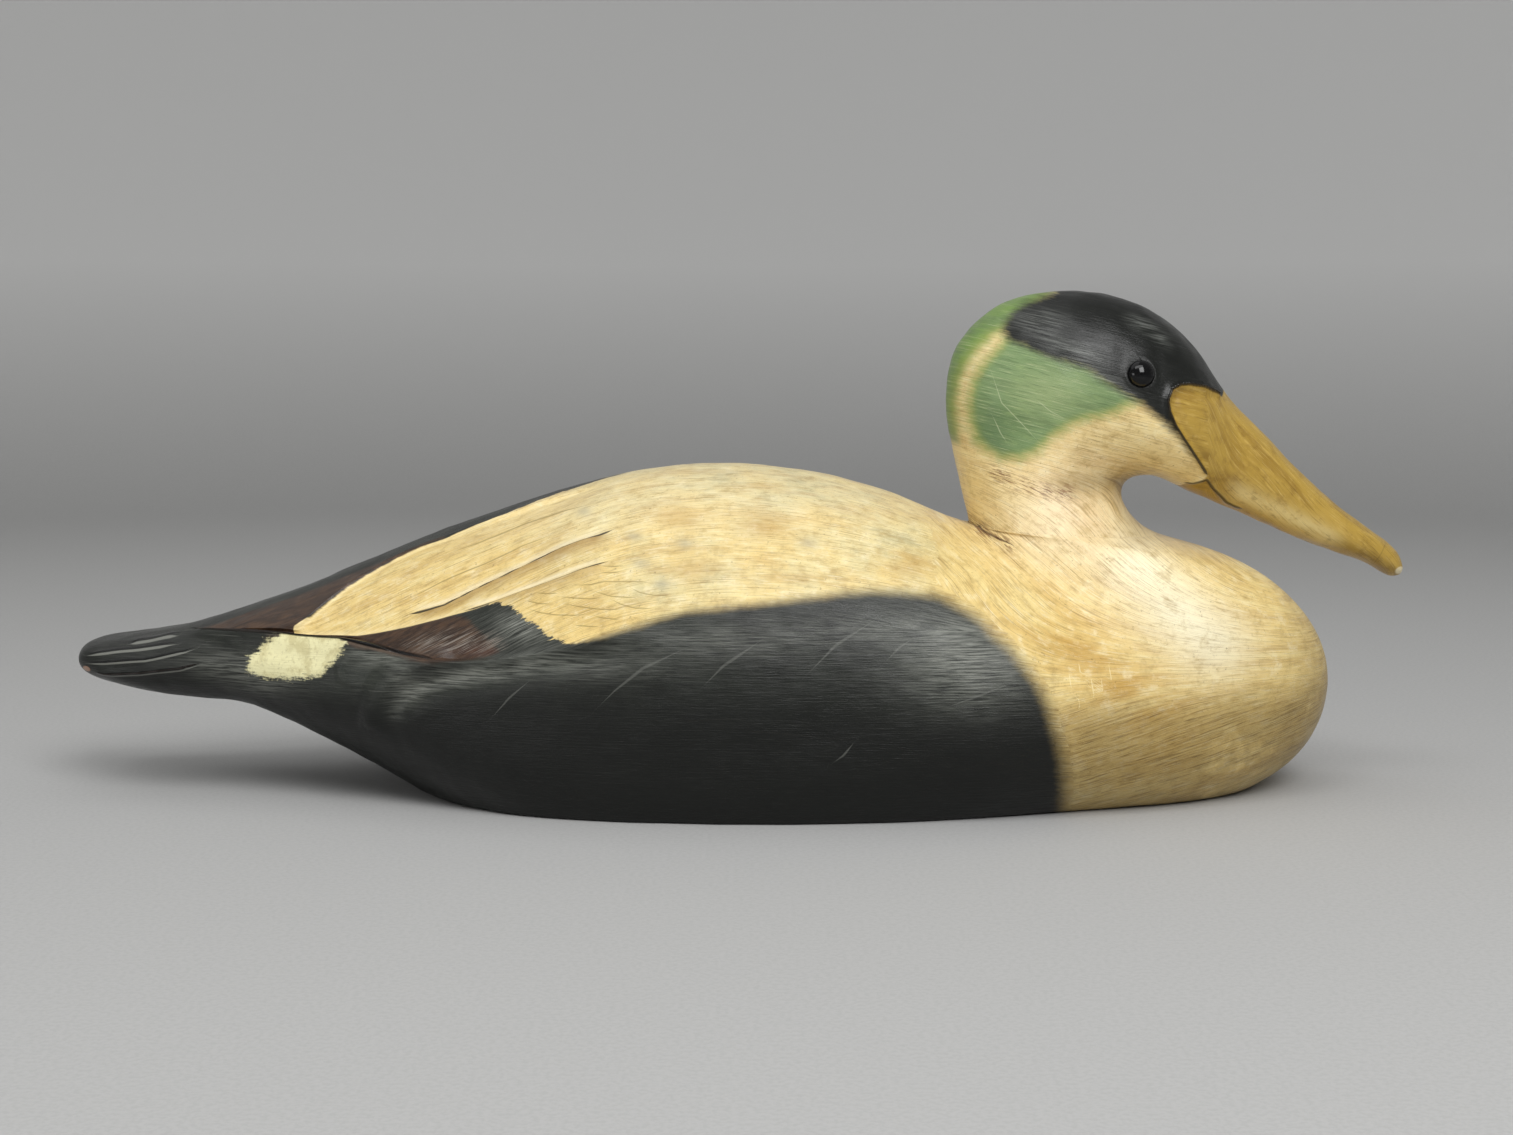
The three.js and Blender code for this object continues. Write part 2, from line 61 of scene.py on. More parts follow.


# Carved body
# One block of softwood with the breast, back, folded wings, side pockets and tail cut from it by
# knife and rasp, and planed flat underneath. It wears thin oil paint, cream over the back and
# breast and black below, darkened with dirt and painted shade in the cuts and under the folds, and
# rubbed through on the high places, where painted highlights, sheen and glints are laid on too.

# Stations of the whole bird: top x, top z, bottom x, bottom z, half width, depth of the widest
# point as a share of the cut, and the fullness of the curve above and below it.
BIRD_STATIONS = [
    [-254.0, 51.6, -254.0, 47.0, 8.0, 0.50, 2.0, 2.0],
    [-250.5, 55.0, -250.5, 43.5, 18.5, 0.52, 2.2, 2.2],
    [-239.0, 57.4, -239.0, 39.0, 26.0, 0.50, 2.3, 2.2],
    [-216.0, 61.0, -216.0, 34.5, 31.0, 0.48, 2.2, 2.2],
    [-190.0, 68.6, -190.0, 31.5, 37.5, 0.48, 2.0, 2.1],
    [-160.0, 79.4, -160.0, 19.0, 48.5, 0.52, 1.9, 2.1],
    [-125.0, 94.0, -125.0, 0.0, 62.5, 0.53, 1.9, 2.1],
    [-80.0, 109.8, -80.0, -20.0, 78.5, 0.54, 2.0, 2.8],
    [-32.0, 121.6, -30.0, -27.0, 87.5, 0.55, 2.1, 3.2],
    [14.0, 121.9, 25.0, -27.0, 90.0, 0.55, 2.1, 3.2],
    [47.0, 115.3, 88.0, -19.0, 89.0, 0.55, 2.1, 2.6],
    [67.0, 108.0, 137.0, -11.0, 83.0, 0.55, 2.1, 2.4],
    [78.5, 103.2, 175.0, -6.0, 74.0, 0.55, 2.1, 2.3],
    [82.7, 101.8, 203.0, 4.0, 65.0, 0.54, 2.1, 2.2],
    [84.2, 101.2, 219.5, 20.0, 60.0, 0.53, 2.1, 2.1],
    [85.2, 100.9, 225.0, 40.0, 57.0, 0.52, 2.1, 2.1],
    [86.0, 100.7, 219.0, 61.5, 53.5, 0.51, 2.1, 2.1],
    [86.6, 100.5, 200.0, 80.8, 49.0, 0.50, 2.0, 2.1],
    [87.1, 100.4, 176.5, 91.5, 45.0, 0.49, 2.0, 2.0],
    [87.5, 100.3, 159.0, 96.8, 41.5, 0.48, 2.0, 2.0],
    [86.2, 106.5, 149.5, 103.5, 36.5, 0.48, 2.0, 2.0],
    [84.2, 115.0, 145.5, 110.0, 33.0, 0.48, 2.1, 2.0],
    [81.0, 128.5, 146.0, 115.5, 31.0, 0.46, 2.1, 2.0],
    [78.2, 147.0, 150.0, 118.4, 31.0, 0.47, 2.1, 2.1],
    [82.5, 168.4, 155.0, 119.0, 32.5, 0.50, 2.1, 2.2],
    [100.3, 184.4, 159.5, 118.2, 34.0, 0.53, 2.2, 2.3],
    [125.0, 189.0, 164.5, 116.2, 34.0, 0.56, 2.2, 2.3],
    [150.0, 184.2, 169.5, 113.7, 31.5, 0.60, 2.2, 2.3],
    [170.5, 169.8, 174.5, 111.4, 27.0, 0.66, 2.1, 2.2],
    [184.0, 151.0, 182.0, 108.3, 21.5, 0.66, 2.0, 2.1],
    [198.0, 136.2, 195.0, 102.8, 18.0, 0.58, 2.2, 2.1],
    [217.0, 117.0, 212.0, 95.3, 15.5, 0.56, 2.3, 2.1],
    [233.0, 104.0, 227.5, 89.5, 13.5, 0.56, 2.3, 2.1],
    [246.0, 94.6, 240.5, 84.8, 11.0, 0.56, 2.2, 2.1],
    [252.3, 88.8, 248.5, 80.4, 8.0, 0.54, 2.1, 2.1],
    [254.0, 84.2, 252.6, 80.4, 4.0, 0.52, 2.0, 2.0],
]
TAIL_TIP, NECK_JOINT, BILL_TIP = 0, 19, 35

# Carver's lines on the side of the body, as x and height.
WING_EDGE = [(-209, 61), (-187, 62), (-146, 62), (-127, 59), (-109, 56), (-60, 63), (-35, 71)]
TERTIAL_LOWER_EDGE = [(-167, 62.6), (-144, 63.5), (-107, 72), (-72, 83), (-47, 91)]
UPPER_FOLD = [
    (-123, 72.6), (-109, 76.3), (-94, 83.7), (-80, 90), (-65.6, 96), (-51, 100.4), (-46, 102.4),
]
LOWER_FOLD = [(-101.6, 74.4), (-95, 76.3), (-86.7, 78.8), (-71.4, 84), (-56.9, 88.7), (-47, 91.8)]
POCKET_END = [(-109, 56), (-124, 52), (-131, 44), (-134, 33)]
POCKET_RIM = [
    (-35, 69), (-49, 65.5), (-64, 62.5), (-78, 60), (-92, 57.3), (-107, 54.5), (-119, 50),
    (-127, 44), (-131, 36), (-132, 28),
]
RUMP_LOBE = [
    (-109, 55.5), (-122.6, 57), (-136.4, 56.5), (-143, 54.5), (-146.3, 51), (-145.6, 48),
    (-140, 45.5),
]
TAIL_FEATHERS_UPPER = [(-232, 56.4), (-224, 57.6), (-212.5, 59.9)]
TAIL_FEATHERS_SECOND = [(-249, 52.1), (-242, 53), (-226.5, 54.9), (-211, 57.4)]
TAIL_FEATHERS_THIRD = [(-249.4, 49.3), (-239, 49.9), (-223, 51.4), (-208, 54.7), (-203, 56.6)]
TAIL_RIDGE = [(-232.5, 41.4), (-217.5, 43.5), (-201, 46.5), (-185.5, 48.3)]
TAIL_FEATHERS_LOWER = [(-245, 45.4), (-237, 45.7), (-225, 46.3), (-209.4, 48.4), (-201, 50.7)]
# Upper edge of the tertials, seen from above, as x and half breadth.
TERTIAL_UPPER_EDGE = [(-167, 39), (-154, 29), (-137, 18.5), (-113, 15.5), (-50, 16)]


def spline_through(rows):
    """Natural cubic spline through evenly spaced rows. Its second derivatives solve
    bend[i-1] + 4 bend[i] + bend[i+1] = 6 (row[i+1] - 2 row[i] + row[i-1]), zero at both ends."""
    rows = np.asarray(rows, float)
    last = len(rows) - 1
    inner = np.arange(1, last)
    system = np.eye(last + 1)
    system[inner, inner] = 4
    system[inner, inner - 1] = system[inner, inner + 1] = 1
    turn = np.zeros_like(rows)
    turn[1:-1] = 6 * (rows[2:] - 2 * rows[1:-1] + rows[:-2])
    bends = np.linalg.solve(system, turn)

    def at(place):
        i = np.clip(np.floor(place).astype(int), 0, last - 1)
        b = (place - i)[..., None]
        a = 1 - b
        straight = a * rows[i] + b * rows[i + 1]
        return straight + ((a**3 - a) * bends[i] + (b**3 - b) * bends[i + 1]) / 6

    return at


def fade(start, end, value):
    """0 before start, 1 past end, and 3t^2 - 2t^3 between them."""
    t = np.clip((value - start) / (end - start), 0, 1)
    return t * t * (3 - 2 * t)


def section(station, around):
    """Right half of a cut, from top (around 0) to bottom (1). With angle pi * around, the depth is
    1 - |cos|^(2/n) of the part above or below the widest point, and the breadth is sin^(2/n)."""
    top_x, top_z, bottom_x, bottom_z, half_width, widest, above, below = np.moveaxis(station, -1, 0)
    rise = np.cos(np.pi * around)
    power = 2 / np.where(rise >= 0, above, below)
    along = np.abs(rise) ** power
    out = np.clip(np.sin(np.pi * around), 0, 1) ** power
    depth = np.where(rise >= 0, widest * (1 - along), widest + (1 - widest) * along)
    return np.stack([
        top_x + (bottom_x - top_x) * depth,
        -half_width * out,
        top_z + (bottom_z - top_z) * depth,
    ], -1)


def around_at_height(station, z):
    """Inverse of section() for a height on the side of an upright cut."""
    depth = (station[..., 1] - z) / (station[..., 1] - station[..., 3])
    widest = station[..., 5]
    upper = np.arccos(np.clip(1 - depth / widest, 0, 1) ** (station[..., 6] / 2)) / np.pi
    share = np.clip((depth - widest) / (1 - widest), 0, 1)
    lower = 1 - np.arccos(share ** (station[..., 7] / 2)) / np.pi
    return np.where(depth <= widest, upper, lower)


def around_at_breadth(station, breadth):
    """Inverse of section() for a half breadth on the back of an upright cut."""
    share = np.clip(breadth / station[..., 4], 0, 1)
    return np.arcsin(share ** (station[..., 6] / 2)) / np.pi


STEPS_PER_CUT = 200
LAST_UPRIGHT_CUT = 11
OUTLINE_POINTS = 60
bird_at = spline_through(BIRD_STATIONS)
fine_places = np.linspace(TAIL_TIP, BILL_TIP, BILL_TIP * STEPS_PER_CUT + 1)
fine_stations = bird_at(fine_places)
upright = slice(0, LAST_UPRIGHT_CUT * STEPS_PER_CUT)


def line_on_body(points, to_around):
    """A drawn line as around = f(place): a spline through its points, held level past its ends."""
    x, value = np.array(points, float).T
    place = np.interp(x, fine_stations[upright, 0], fine_places[upright])
    knots = np.stack([place, to_around(bird_at(place), value)], -1)
    curve = spline_through(knots)(np.linspace(0, len(points) - 1, OUTLINE_POINTS))
    return lambda places: np.interp(places, curve[:, 0], curve[:, 1])


wing_edge = line_on_body(WING_EDGE, around_at_height)
tertial_lower = line_on_body(TERTIAL_LOWER_EDGE, around_at_height)
tertial_upper = line_on_body(TERTIAL_UPPER_EDGE, around_at_breadth)


def even_places(first, last, spacing):
    """Places from first to last whose cuts lie spacing(x) apart, measured along the longest of
    the top line, the bottom line and the outline from above."""
    inside = (fine_places >= first) & (fine_places <= last)
    step = np.abs(np.diff(fine_stations[inside], axis=0))
    longest = np.maximum(np.hypot(step[:, 0], step[:, 1]), np.hypot(step[:, 2], step[:, 3]))
    longest = np.maximum(longest, step[:, 4])
    count = np.concatenate([[0], np.cumsum(longest / spacing(fine_stations[inside, 0][1:]))])
    rows = int(round(count[-1]))
    return np.interp(np.linspace(0, count[-1], rows + 1), count, fine_places[inside])


def both_sides(right_side):
    """Full rings from right-hand ones: the left side is its mirror image, in reverse order."""
    left_side = right_side[:, -2:0:-1] * [1, -1, 1]
    return np.concatenate([right_side, left_side], 1)


def outward(rings):
    """Unit normals of rings, the cross product of the steps around and along them."""
    around = np.roll(rings, -1, 1) - np.roll(rings, 1, 1)
    along = np.gradient(rings, axis=0)
    normal = np.cross(along, around)
    return normal / np.maximum(np.linalg.norm(normal, axis=-1, keepdims=True), 1e-9)


def brush_ways(places, around):
    """Two directions a brush follows, in millimetres: along the bird, the mean travel of its top
    and bottom lines, and around it, the share of the half girth, negative on the right side."""
    step = np.diff(fine_stations, axis=0)
    travel = (np.hypot(step[:, 0], step[:, 1]) + np.hypot(step[:, 2], step[:, 3])) / 2
    travel = np.interp(places, fine_places[1:], np.cumsum(travel))
    outline = section(bird_at(places)[:, None, :], np.linspace(0, 1, OUTLINE_POINTS))
    half_girth = np.linalg.norm(np.diff(outline, axis=1), axis=-1).sum(1)
    reach = around * half_girth[:, None]
    right_side = np.stack([np.broadcast_to(travel[:, None], reach.shape), -reach, 0 * reach], -1)
    return both_sides(right_side)


def nearest_on_lines(x, z, lines):
    """Offset from the nearest of some drawn lines, positive to the left of its direction, how far
    along that line (0 to 1) the nearest point lies, and which line it is, from the least distance
    to their segments."""
    least = np.full(x.shape, np.inf)
    offset = np.zeros(x.shape)
    along = np.zeros(x.shape)
    which = np.zeros(x.shape, int)
    for number, line in enumerate(lines):
        line = np.asarray(line, float)
        run = np.diff(line, axis=0)
        length = np.hypot(*run.T)
        reached = np.concatenate([[0], np.cumsum(length)])
        for start, step, long, before in zip(line, run, length, reached):
            t = np.clip(((x - start[0]) * step[0] + (z - start[1]) * step[1]) / long**2, 0, 1)
            off_x = x - start[0] - t * step[0]
            off_z = z - start[1] - t * step[1]
            distance = np.hypot(off_x, off_z)
            nearer = distance < least
            least = np.where(nearer, distance, least)
            side = np.where(step[0] * off_z - step[1] * off_x >= 0, 1, -1)
            offset = np.where(nearer, side * distance, offset)
            along = np.where(nearer, (before + t * long) / reached[-1], along)
            which = np.where(nearer, number, which)
    return offset, along, which


def inside_outline(x, z, outline):
    """Distance to a closed outline, positive inside it, where a ray to the right crosses it an odd
    number of times."""
    outline = np.asarray(outline, float)
    closed = np.concatenate([outline, outline[:1]])
    distance = np.abs(nearest_on_lines(x, z, [closed])[0])
    odd = np.zeros(x.shape, bool)
    for (x0, z0), (x1, z1) in zip(closed[:-1], closed[1:]):
        if z0 != z1:
            crosses = (z0 > z) != (z1 > z)
            odd ^= crosses & (x < x0 + (z - z0) * (x1 - x0) / (z1 - z0))
    return np.where(odd, distance, -distance)


def tool_marks(points, wavelength, seed):
    """Smooth unevenness of about unit height: a sum of plane waves in random directions whose
    lengths lie within a third of the given one."""
    dice = np.random.default_rng(seed)
    waves = 14
    direction = dice.normal(size=(waves, 3))
    direction /= np.linalg.norm(direction, axis=1, keepdims=True)
    wave = direction * (2 * np.pi / (wavelength * dice.uniform(0.7, 1.35, (waves, 1))))
    phase = dice.uniform(0, 2 * np.pi, waves)
    return np.sin(points @ wave.T + phase).sum(-1) / math.sqrt(waves)


def bell(distance, width):
    """1 at no distance, falling off as exp(-(distance / width)^2)."""
    return np.exp(-((distance / width) ** 2))


def ends(along, share):
    """1 along a line and 0 at its two ends, over the given share of its length."""
    return fade(0, share, along) * fade(0, share, 1 - along)


def cut(x, z, line, depth, width, share=0.12):
    """A knife cut along a line, run out at both ends: depth * bell(offset, width)."""
    offset, along, _ = nearest_on_lines(x, z, [line])
    return depth * bell(offset, width) * ends(along, share)


def folded_feather(x, z, line, lip, hollow):
    """A feather's edge laid over the next one: its lip rises in lip * bell(offset - 1.5, 3) above
    the line, and a hollow drops in hollow * exp(offset / 5) below it."""
    offset, along, _ = nearest_on_lines(x, z, [line])
    above = lip * bell(offset - 1.5, 3)
    below = -hollow * np.exp(np.minimum(offset, 0) / 5)
    fold = above + (below - above) * fade(1.0, -0.6, offset)
    return fold * fade(0, 0.3, along) * fade(0, 0.15, 1 - along)


def drawn(x, z, lines, half_width, share):
    """Painted lines as two numbers at each point: the offset from the nearest line, and the half
    width there, which tapers to the line's ends and is 0 beyond the points next to the line."""
    offset, along, which = nearest_on_lines(x, z, lines)
    width = np.broadcast_to(half_width, len(lines))[which]
    reach = width * ends(along, share) * fade(2.6, 1.5, np.abs(offset))
    return np.clip(offset, -3, 3), reach


# Cuts lie closest together on the tail and the wings, where the carving is finest.
SPACING_AT = [-200, -60, -30, 60, 90]
BODY_SPACING = [1.05, 1.25, 1.7, 1.9, 2.2]
body_places = even_places(TAIL_TIP, NECK_JOINT, lambda x: np.interp(x, SPACING_AT, BODY_SPACING))
body_stations = bird_at(body_places)
body_x = body_stations[:, 0]

# Rings follow the carved edges: pairs of knots hold the steps at the tertials and the wing. A knot
# is its place around the cut, its lift in millimetres, and the cells that lead to it.
EDGE_SHARE = 0.006
LOWEST_FLOOR_SHARE = 0.93
POCKET_SHARE = 0.16
WING_STEP = 2.4
TERTIAL_STEP = 1.6
EDGE_HOLLOW = 2.0
BACK_RISE, TERTIAL_RISE = 0.3, 0.8
edge = wing_edge(body_places)
lower = np.minimum(tertial_lower(body_places), edge - 3 * EDGE_SHARE)
upper = np.minimum(tertial_upper(body_places), lower - 3 * EDGE_SHARE)
reaches_floor = body_stations[:, 3] < 0
floor_line = np.minimum(around_at_height(body_stations, 0), LOWEST_FLOOR_SHARE)
floor_line = np.where(reaches_floor, floor_line, LOWEST_FLOOR_SHARE)
from_wing_tip = fade(-212, -198, body_x)
wing_lift = WING_STEP * from_wing_tip * fade(-52, -105, body_x)
tertial_lift = TERTIAL_STEP * fade(-172, -160, body_x) * fade(-42, -75, body_x)
edge_hollow = EDGE_HOLLOW * from_wing_tip * fade(-30, -60, body_x)
level = np.zeros_like(body_x)
ring_knots = [
    (level, level, 0),
    (upper - EDGE_SHARE, BACK_RISE * wing_lift, 12),
    (upper + EDGE_SHARE, BACK_RISE * wing_lift + tertial_lift, 4),
    (lower - EDGE_SHARE, TERTIAL_RISE * wing_lift + tertial_lift, 32),
    (lower + EDGE_SHARE, TERTIAL_RISE * wing_lift, 4),
    (edge - EDGE_SHARE, wing_lift, 12),
    (edge + EDGE_SHARE, -edge_hollow, 4),
    (edge + POCKET_SHARE * (floor_line - edge), level, 8),
    (floor_line, level, 38),
    (level + 1, level, 8),
]


def ring_lines(knots):
    """Around and lift of every line of the rings: even cells between knots, with the lift of a
    step eased by 3t^2 - 2t^3."""
    around = [knots[0][0][:, None]]
    lift = [knots[0][1][:, None]]
    for (around_0, lift_0, _), (around_1, lift_1, cells) in zip(knots[:-1], knots[1:]):
        t = np.arange(1, cells + 1) / cells
        eased = t * t * (3 - 2 * t)
        around.append(around_0[:, None] + (around_1 - around_0)[:, None] * t)
        lift.append(lift_0[:, None] + (lift_1 - lift_0)[:, None] * eased)
    return np.concatenate(around, 1), np.concatenate(lift, 1)


body_around, body_lift = ring_lines(ring_knots)
body_form = both_sides(section(body_stations[:, None, :], body_around))
body_normal = outward(body_form)
around_ring = np.concatenate([body_around, body_around[:, -2:0:-1]], 1)
lift_ring = np.concatenate([body_lift, body_lift[:, -2:0:-1]], 1)
side_x, breadth, side_z = body_form[..., 0], np.abs(body_form[..., 1]), body_form[..., 2]
place_ring = body_places[:, None]

# Carving on the skin, marked in the side view: the hollow that ends the side pocket, the swelling
# along its rim, the folds of the tertials, the cuts and the ridge of the tail, and the unevenness
# that knife and rasp leave, as waves of two lengths.
POCKET_HOLLOW, POCKET_REACH = 2.6, 7
RIM_SWELLING, RIM_GROOVE = 2.4, 1.2
LONG_WAVE, SHORT_WAVE = (0.16, 26), (0.07, 9)
relief = lift_ring.copy()
pocket_offset = nearest_on_lines(side_x, side_z, [POCKET_END])[0]
relief -= POCKET_HOLLOW * (1 - np.clip(np.abs(pocket_offset) / POCKET_REACH, 0, 1) ** 2) ** 2
rim_offset, rim_along, _ = nearest_on_lines(side_x, side_z, [POCKET_RIM])
pocket_rim = RIM_SWELLING * bell(rim_offset - 5.5, 4) - RIM_GROOVE * bell(rim_offset, 1.6)
relief += pocket_rim * ends(rim_along, 0.2)
relief += folded_feather(side_x, side_z, UPPER_FOLD, 0.5, 1.3)
relief += folded_feather(side_x, side_z, LOWER_FOLD, 0.5, 1.2)
on_tail = side_x < -196
for feather_line in (TAIL_FEATHERS_UPPER, TAIL_FEATHERS_SECOND, TAIL_FEATHERS_THIRD):
    relief -= cut(side_x, side_z, feather_line, 0.5, 0.7, 0.2) * on_tail
relief -= cut(side_x, side_z, TAIL_FEATHERS_LOWER, 1.1, 0.9, 0.15) * on_tail
relief += cut(side_x, side_z, TAIL_RIDGE, 0.7, 1.8, 0.3) * on_tail
relief -= cut(side_x, side_z, RUMP_LOBE, 0.6, 1.1)
in_nape = fade(60, 84, side_x) * fade(30, 5, breadth)
calm = (1 - in_nape) * fade(NECK_JOINT, NECK_JOINT - 1.5, place_ring)
for seed, (rise, wavelength) in enumerate((LONG_WAVE, SHORT_WAVE), 3):
    relief += rise * tool_marks(body_form, wavelength, seed) * calm
body_skin = body_form + body_normal * relief[..., None]

# The planed underside: heights run out to the floor over a 2 mm round instead of a sharp corner.
EASED = 2.0
height = body_skin[..., 2]
body_skin[..., 2] = np.where(
    height < -EASED, 0, np.where(height > EASED, height, (height + EASED) ** 2 / (4 * EASED))
)


def rounded_tip(rings, axis_point, rows):
    """Draws the first rows in towards a point, each by sqrt(1 - (1 - t)^2), so that the end of the
    form is a rounded tip."""
    t = np.linspace(0, 1, rows + 1)[:-1]
    reach = np.sqrt(1 - (1 - t) ** 2)[:, None, None]
    rings[:rows] = axis_point + (rings[:rows] - axis_point) * reach
    return rings


CREASE_ANGLE = 36


def make_skin(name, rings, fields, ways=()):
    """Closed mesh over rings of points in millimetres: a quad between each pair of neighbours, and
    a fan to the middle of the first and of the last ring. Fields are numbers kept at its points,
    and so are the two ways of the brush."""
    rows, count = rings.shape[:2]
    first = np.arange(rows - 1)[:, None] * count + np.arange(count)
    second = np.roll(first, -1, 1)
    quads = np.stack([first, first + count, second + count, second], -1).reshape(-1, 4)
    line = np.arange(count)
    after = np.roll(line, -1)
    tail = np.stack([np.full(count, rows * count), line, after], -1)
    tip = np.stack([np.full(count, rows * count + 1), after, line], -1)
    tip[:, 1:] += (rows - 1) * count

    def with_hubs(values):
        hubs = [values[0].mean(0).ravel()], [values[-1].mean(0).ravel()]
        return np.concatenate([values.reshape(rows * count, -1), *hubs])

    mesh = bpy.data.meshes.new(name)
    faces = quads.tolist() + tail.tolist() + tip.tolist()
    mesh.from_pydata((with_hubs(rings) / 1000).tolist(), [], faces)
    mesh.shade_smooth()
    mesh.set_sharp_from_angle(angle=math.radians(CREASE_ANGLE))
    for label, values in fields.items():
        kept = with_hubs(np.broadcast_to(values, (rows, count))).astype(np.float32).ravel()
        mesh.attributes.new(label, "FLOAT", "POINT").data.foreach_set("value", kept)
    for label, way in zip(("brush", "second_brush"), ways):
        kept = with_hubs(way).astype(np.float32).ravel()
        mesh.attributes.new(label, "FLOAT_VECTOR", "POINT").data.foreach_set("vector", kept)
    piece = bpy.data.objects.new(name, mesh)
    bpy.context.collection.objects.link(piece)
    return piece


# Paint lines. Cream covers the back and the breast. Its lower edge follows the tertials, then a
# ragged brush edge down to the side pocket, then a soft line over the flank to the breast.
def carved_line(line_around, first_x, last_x):
    """Points of the real skin along a carved line, between two values of x."""
    shown = (body_x > first_x) & (body_x < last_x)
    return section(bird_at(body_places[shown]), line_around[shown])


under_tertials = carved_line(lower, -167, -92)[::6, [0, 2]]
RAGGED_LINE = [
    (-87.6, 76.9), (-83.8, 76.2), (-78.1, 73.4), (-75.2, 70.9), (-69.4, 67.6), (-64.6, 65),
    (-60.7, 63.2),
]
FLANK_LINE = [
    (-56.8, 64.2), (-49, 66.3), (-42, 68.8), (-35, 70.6), (-27.4, 73.5), (-17.5, 75.7),
    (-8.6, 76.4), (0, 77.5), (9.7, 78.4), (27, 80.3), (36, 81.7), (46, 82.4), (57, 81.7),
    (70, 80.2), (79, 75.6), (84, 72.5), (89, 67.5), (94.5, 62.9), (98, 58.3), (102.5, 53),
    (106, 47.8), (108.5, 41.6), (110.5, 35), (112.6, 29), (114, 23), (115.3, 15), (116.4, 3.6),
    (116.4, -40),
]
dark_outline = np.concatenate([
    [(-300, 62)], under_tertials, RAGGED_LINE, FLANK_LINE, [(-300, -60)],
])
side_edge = -inside_outline(side_x, side_z, dark_outline)
behind_tertials = carved_line(upper, -167, -113)[::6, :2] * [1, -1]
back_outline = np.concatenate([
    [(-300, 60), (-200, 60), (-167, 39)], behind_tertials,
    [(-113, 15.5), (-80, 13), (-60, 8), (-44, 0), (-44, -40), (-300, -40)],
])
back_edge = -inside_outline(side_x, breadth, back_outline)
above_tertials = around_ring < lower[:, None]
cream_edge = np.where(above_tertials, np.minimum(back_edge, side_edge), side_edge)
flank_softness = np.interp(side_x, [-92, -62, -48, 60, 112], [0.25, 0.4, 2.4, 3.0, 5.0])
brush_teeth = np.interp(side_x, [-96, -90, -62, -50, 60, 112], [0.4, 5.0, 5.0, 1.0, 1.0, 2.0])

# Brown over the rump and below the tertials, the scuffed place on it, and the pale rump patch.
BROWN_WEDGE = [
    (-215, 17), (-175, 16), (-150, 15), (-113, 14.5), (-113, 15.5), (-137, 18.5), (-154, 29),
    (-170, 41), (-205, 34),
]
BROWN_BELOW = [
    (-175, 60), (-150, 66), (-108, 74), (-99, 71), (-90, 64), (-86, 60), (-109, 54), (-146, 60),
]
SCUFFED = [(-123, 61.5), (-111, 66), (-97, 68), (-86, 66.5), (-84, 62), (-100, 59.5), (-116, 59)]
RUMP_PATCH = [
    (-167.5, 62.5), (-176.7, 57.8), (-182, 53), (-182.6, 48.3), (-175.5, 46.1), (-165.7, 46.4),
    (-154.2, 48.2), (-147.6, 54), (-142.8, 59.6), (-147, 62.5),
]
FAR_OUTSIDE = -10
above_edge = around_ring < edge[:, None]
below_tertials = around_ring > lower[:, None]
below_edge = around_ring > edge[:, None] + 0.5 * EDGE_SHARE
brown_above = np.where(above_edge, inside_outline(side_x, breadth, BROWN_WEDGE), FAR_OUTSIDE)
brown_below = np.where(below_tertials, inside_outline(side_x, side_z, BROWN_BELOW), FAR_OUTSIDE)
on_secondaries = below_tertials & (around_ring <= edge[:, None])
scuffed = np.where(on_secondaries, inside_outline(side_x, side_z, SCUFFED), FAR_OUTSIDE)
patch_edge = np.where(below_edge, inside_outline(side_x, side_z, RUMP_PATCH), FAR_OUTSIDE)

# Lines drawn with a knife point or a fine brush, in groups whose lines lie well apart.
FEATHER_LINES = [
    [
        [(-50.1, 89.9), (-44.3, 89.9), (-41.4, 90.4)],
        [(-53, 81.6), (-50, 81.1), (-46, 80), (-40, 79.7), (-35.4, 79.7)],
        [(-73.3, 80.4), (-69.4, 80.2), (-64.6, 80.6)],
        [(-77, 75.5), (-71.4, 74), (-65.6, 73.4), (-58.8, 73.4), (-53, 74.2)],
        [(-52, 73.3), (-48, 72.7), (-42.2, 72.3)],
        [(-126.6, 76.5), (-110.6, 84.3), (-95, 91), (-81, 97), (-65.7, 102.3)],
        [(-112.4, 92.3), (-97, 97.9), (-82, 103.8), (-67.6, 108.3), (-52, 111)],
    ],
    [
        [(-50, 87.6), (-45, 87.9), (-42, 88.3)],
        [(-64.6, 79.6), (-58.8, 79.1), (-53, 79), (-48, 79.8)],
        [(-39.3, 83.1), (-35.4, 81.4), (-30.5, 80.7), (-24.5, 80.6)],
        [(-59, 70.1), (-53, 69.8), (-49, 69.7)],
        [(-77, 77.8), (-71.4, 76.9), (-67.5, 77.1)],
        [(-46, 79.2), (-42, 77.3), (-37, 76.2), (-30, 76.2)],
    ],
    [
        [(-61, 83.2), (-53, 83.6), (-48, 84.9), (-41, 84.9), (-35, 85.1), (-30.5, 84.5)],
        [(-63.7, 77.3), (-58.8, 76.6), (-53, 75.9), (-48, 75.5), (-40, 75.9)],
    ],
]
WING_CRACK = [(-208, 61.5), (-180, 61.7), (-168, 61.9), (-146, 61.9), (-127, 59), (-108, 56)]
OPEN_CRACK = [(-178, 62.3), (-160, 61.9), (-146, 61.9), (-127, 59), (-111, 56.3)]
FLANK_STROKES = [
    [(-89, 36), (-82, 44), (-73, 52)], [(-51, 41), (-44, 48), (-34, 56), (-17, 64)],
    [(-14, 49), (-6, 57), (9, 67)], [(22, 53), (33, 64), (49, 74)], [(50, 58), (55, 63), (61, 67)],
    [(32, 23), (36, 26), (40, 31)], [(70, 42), (82, 46), (96, 51)],
]
NAPE_CRACK = [(87, 102), (91, 99), (95, 97), (101, 94.5)]
NICKS = [
    [(116, 53.5), (116.8, 47)], [(120, 56), (120.6, 51)], [(124, 52), (125, 44)],
    [(128, 50), (128.4, 46)], [(131, 55), (132, 49)], [(119, 45), (119.6, 41)],
]

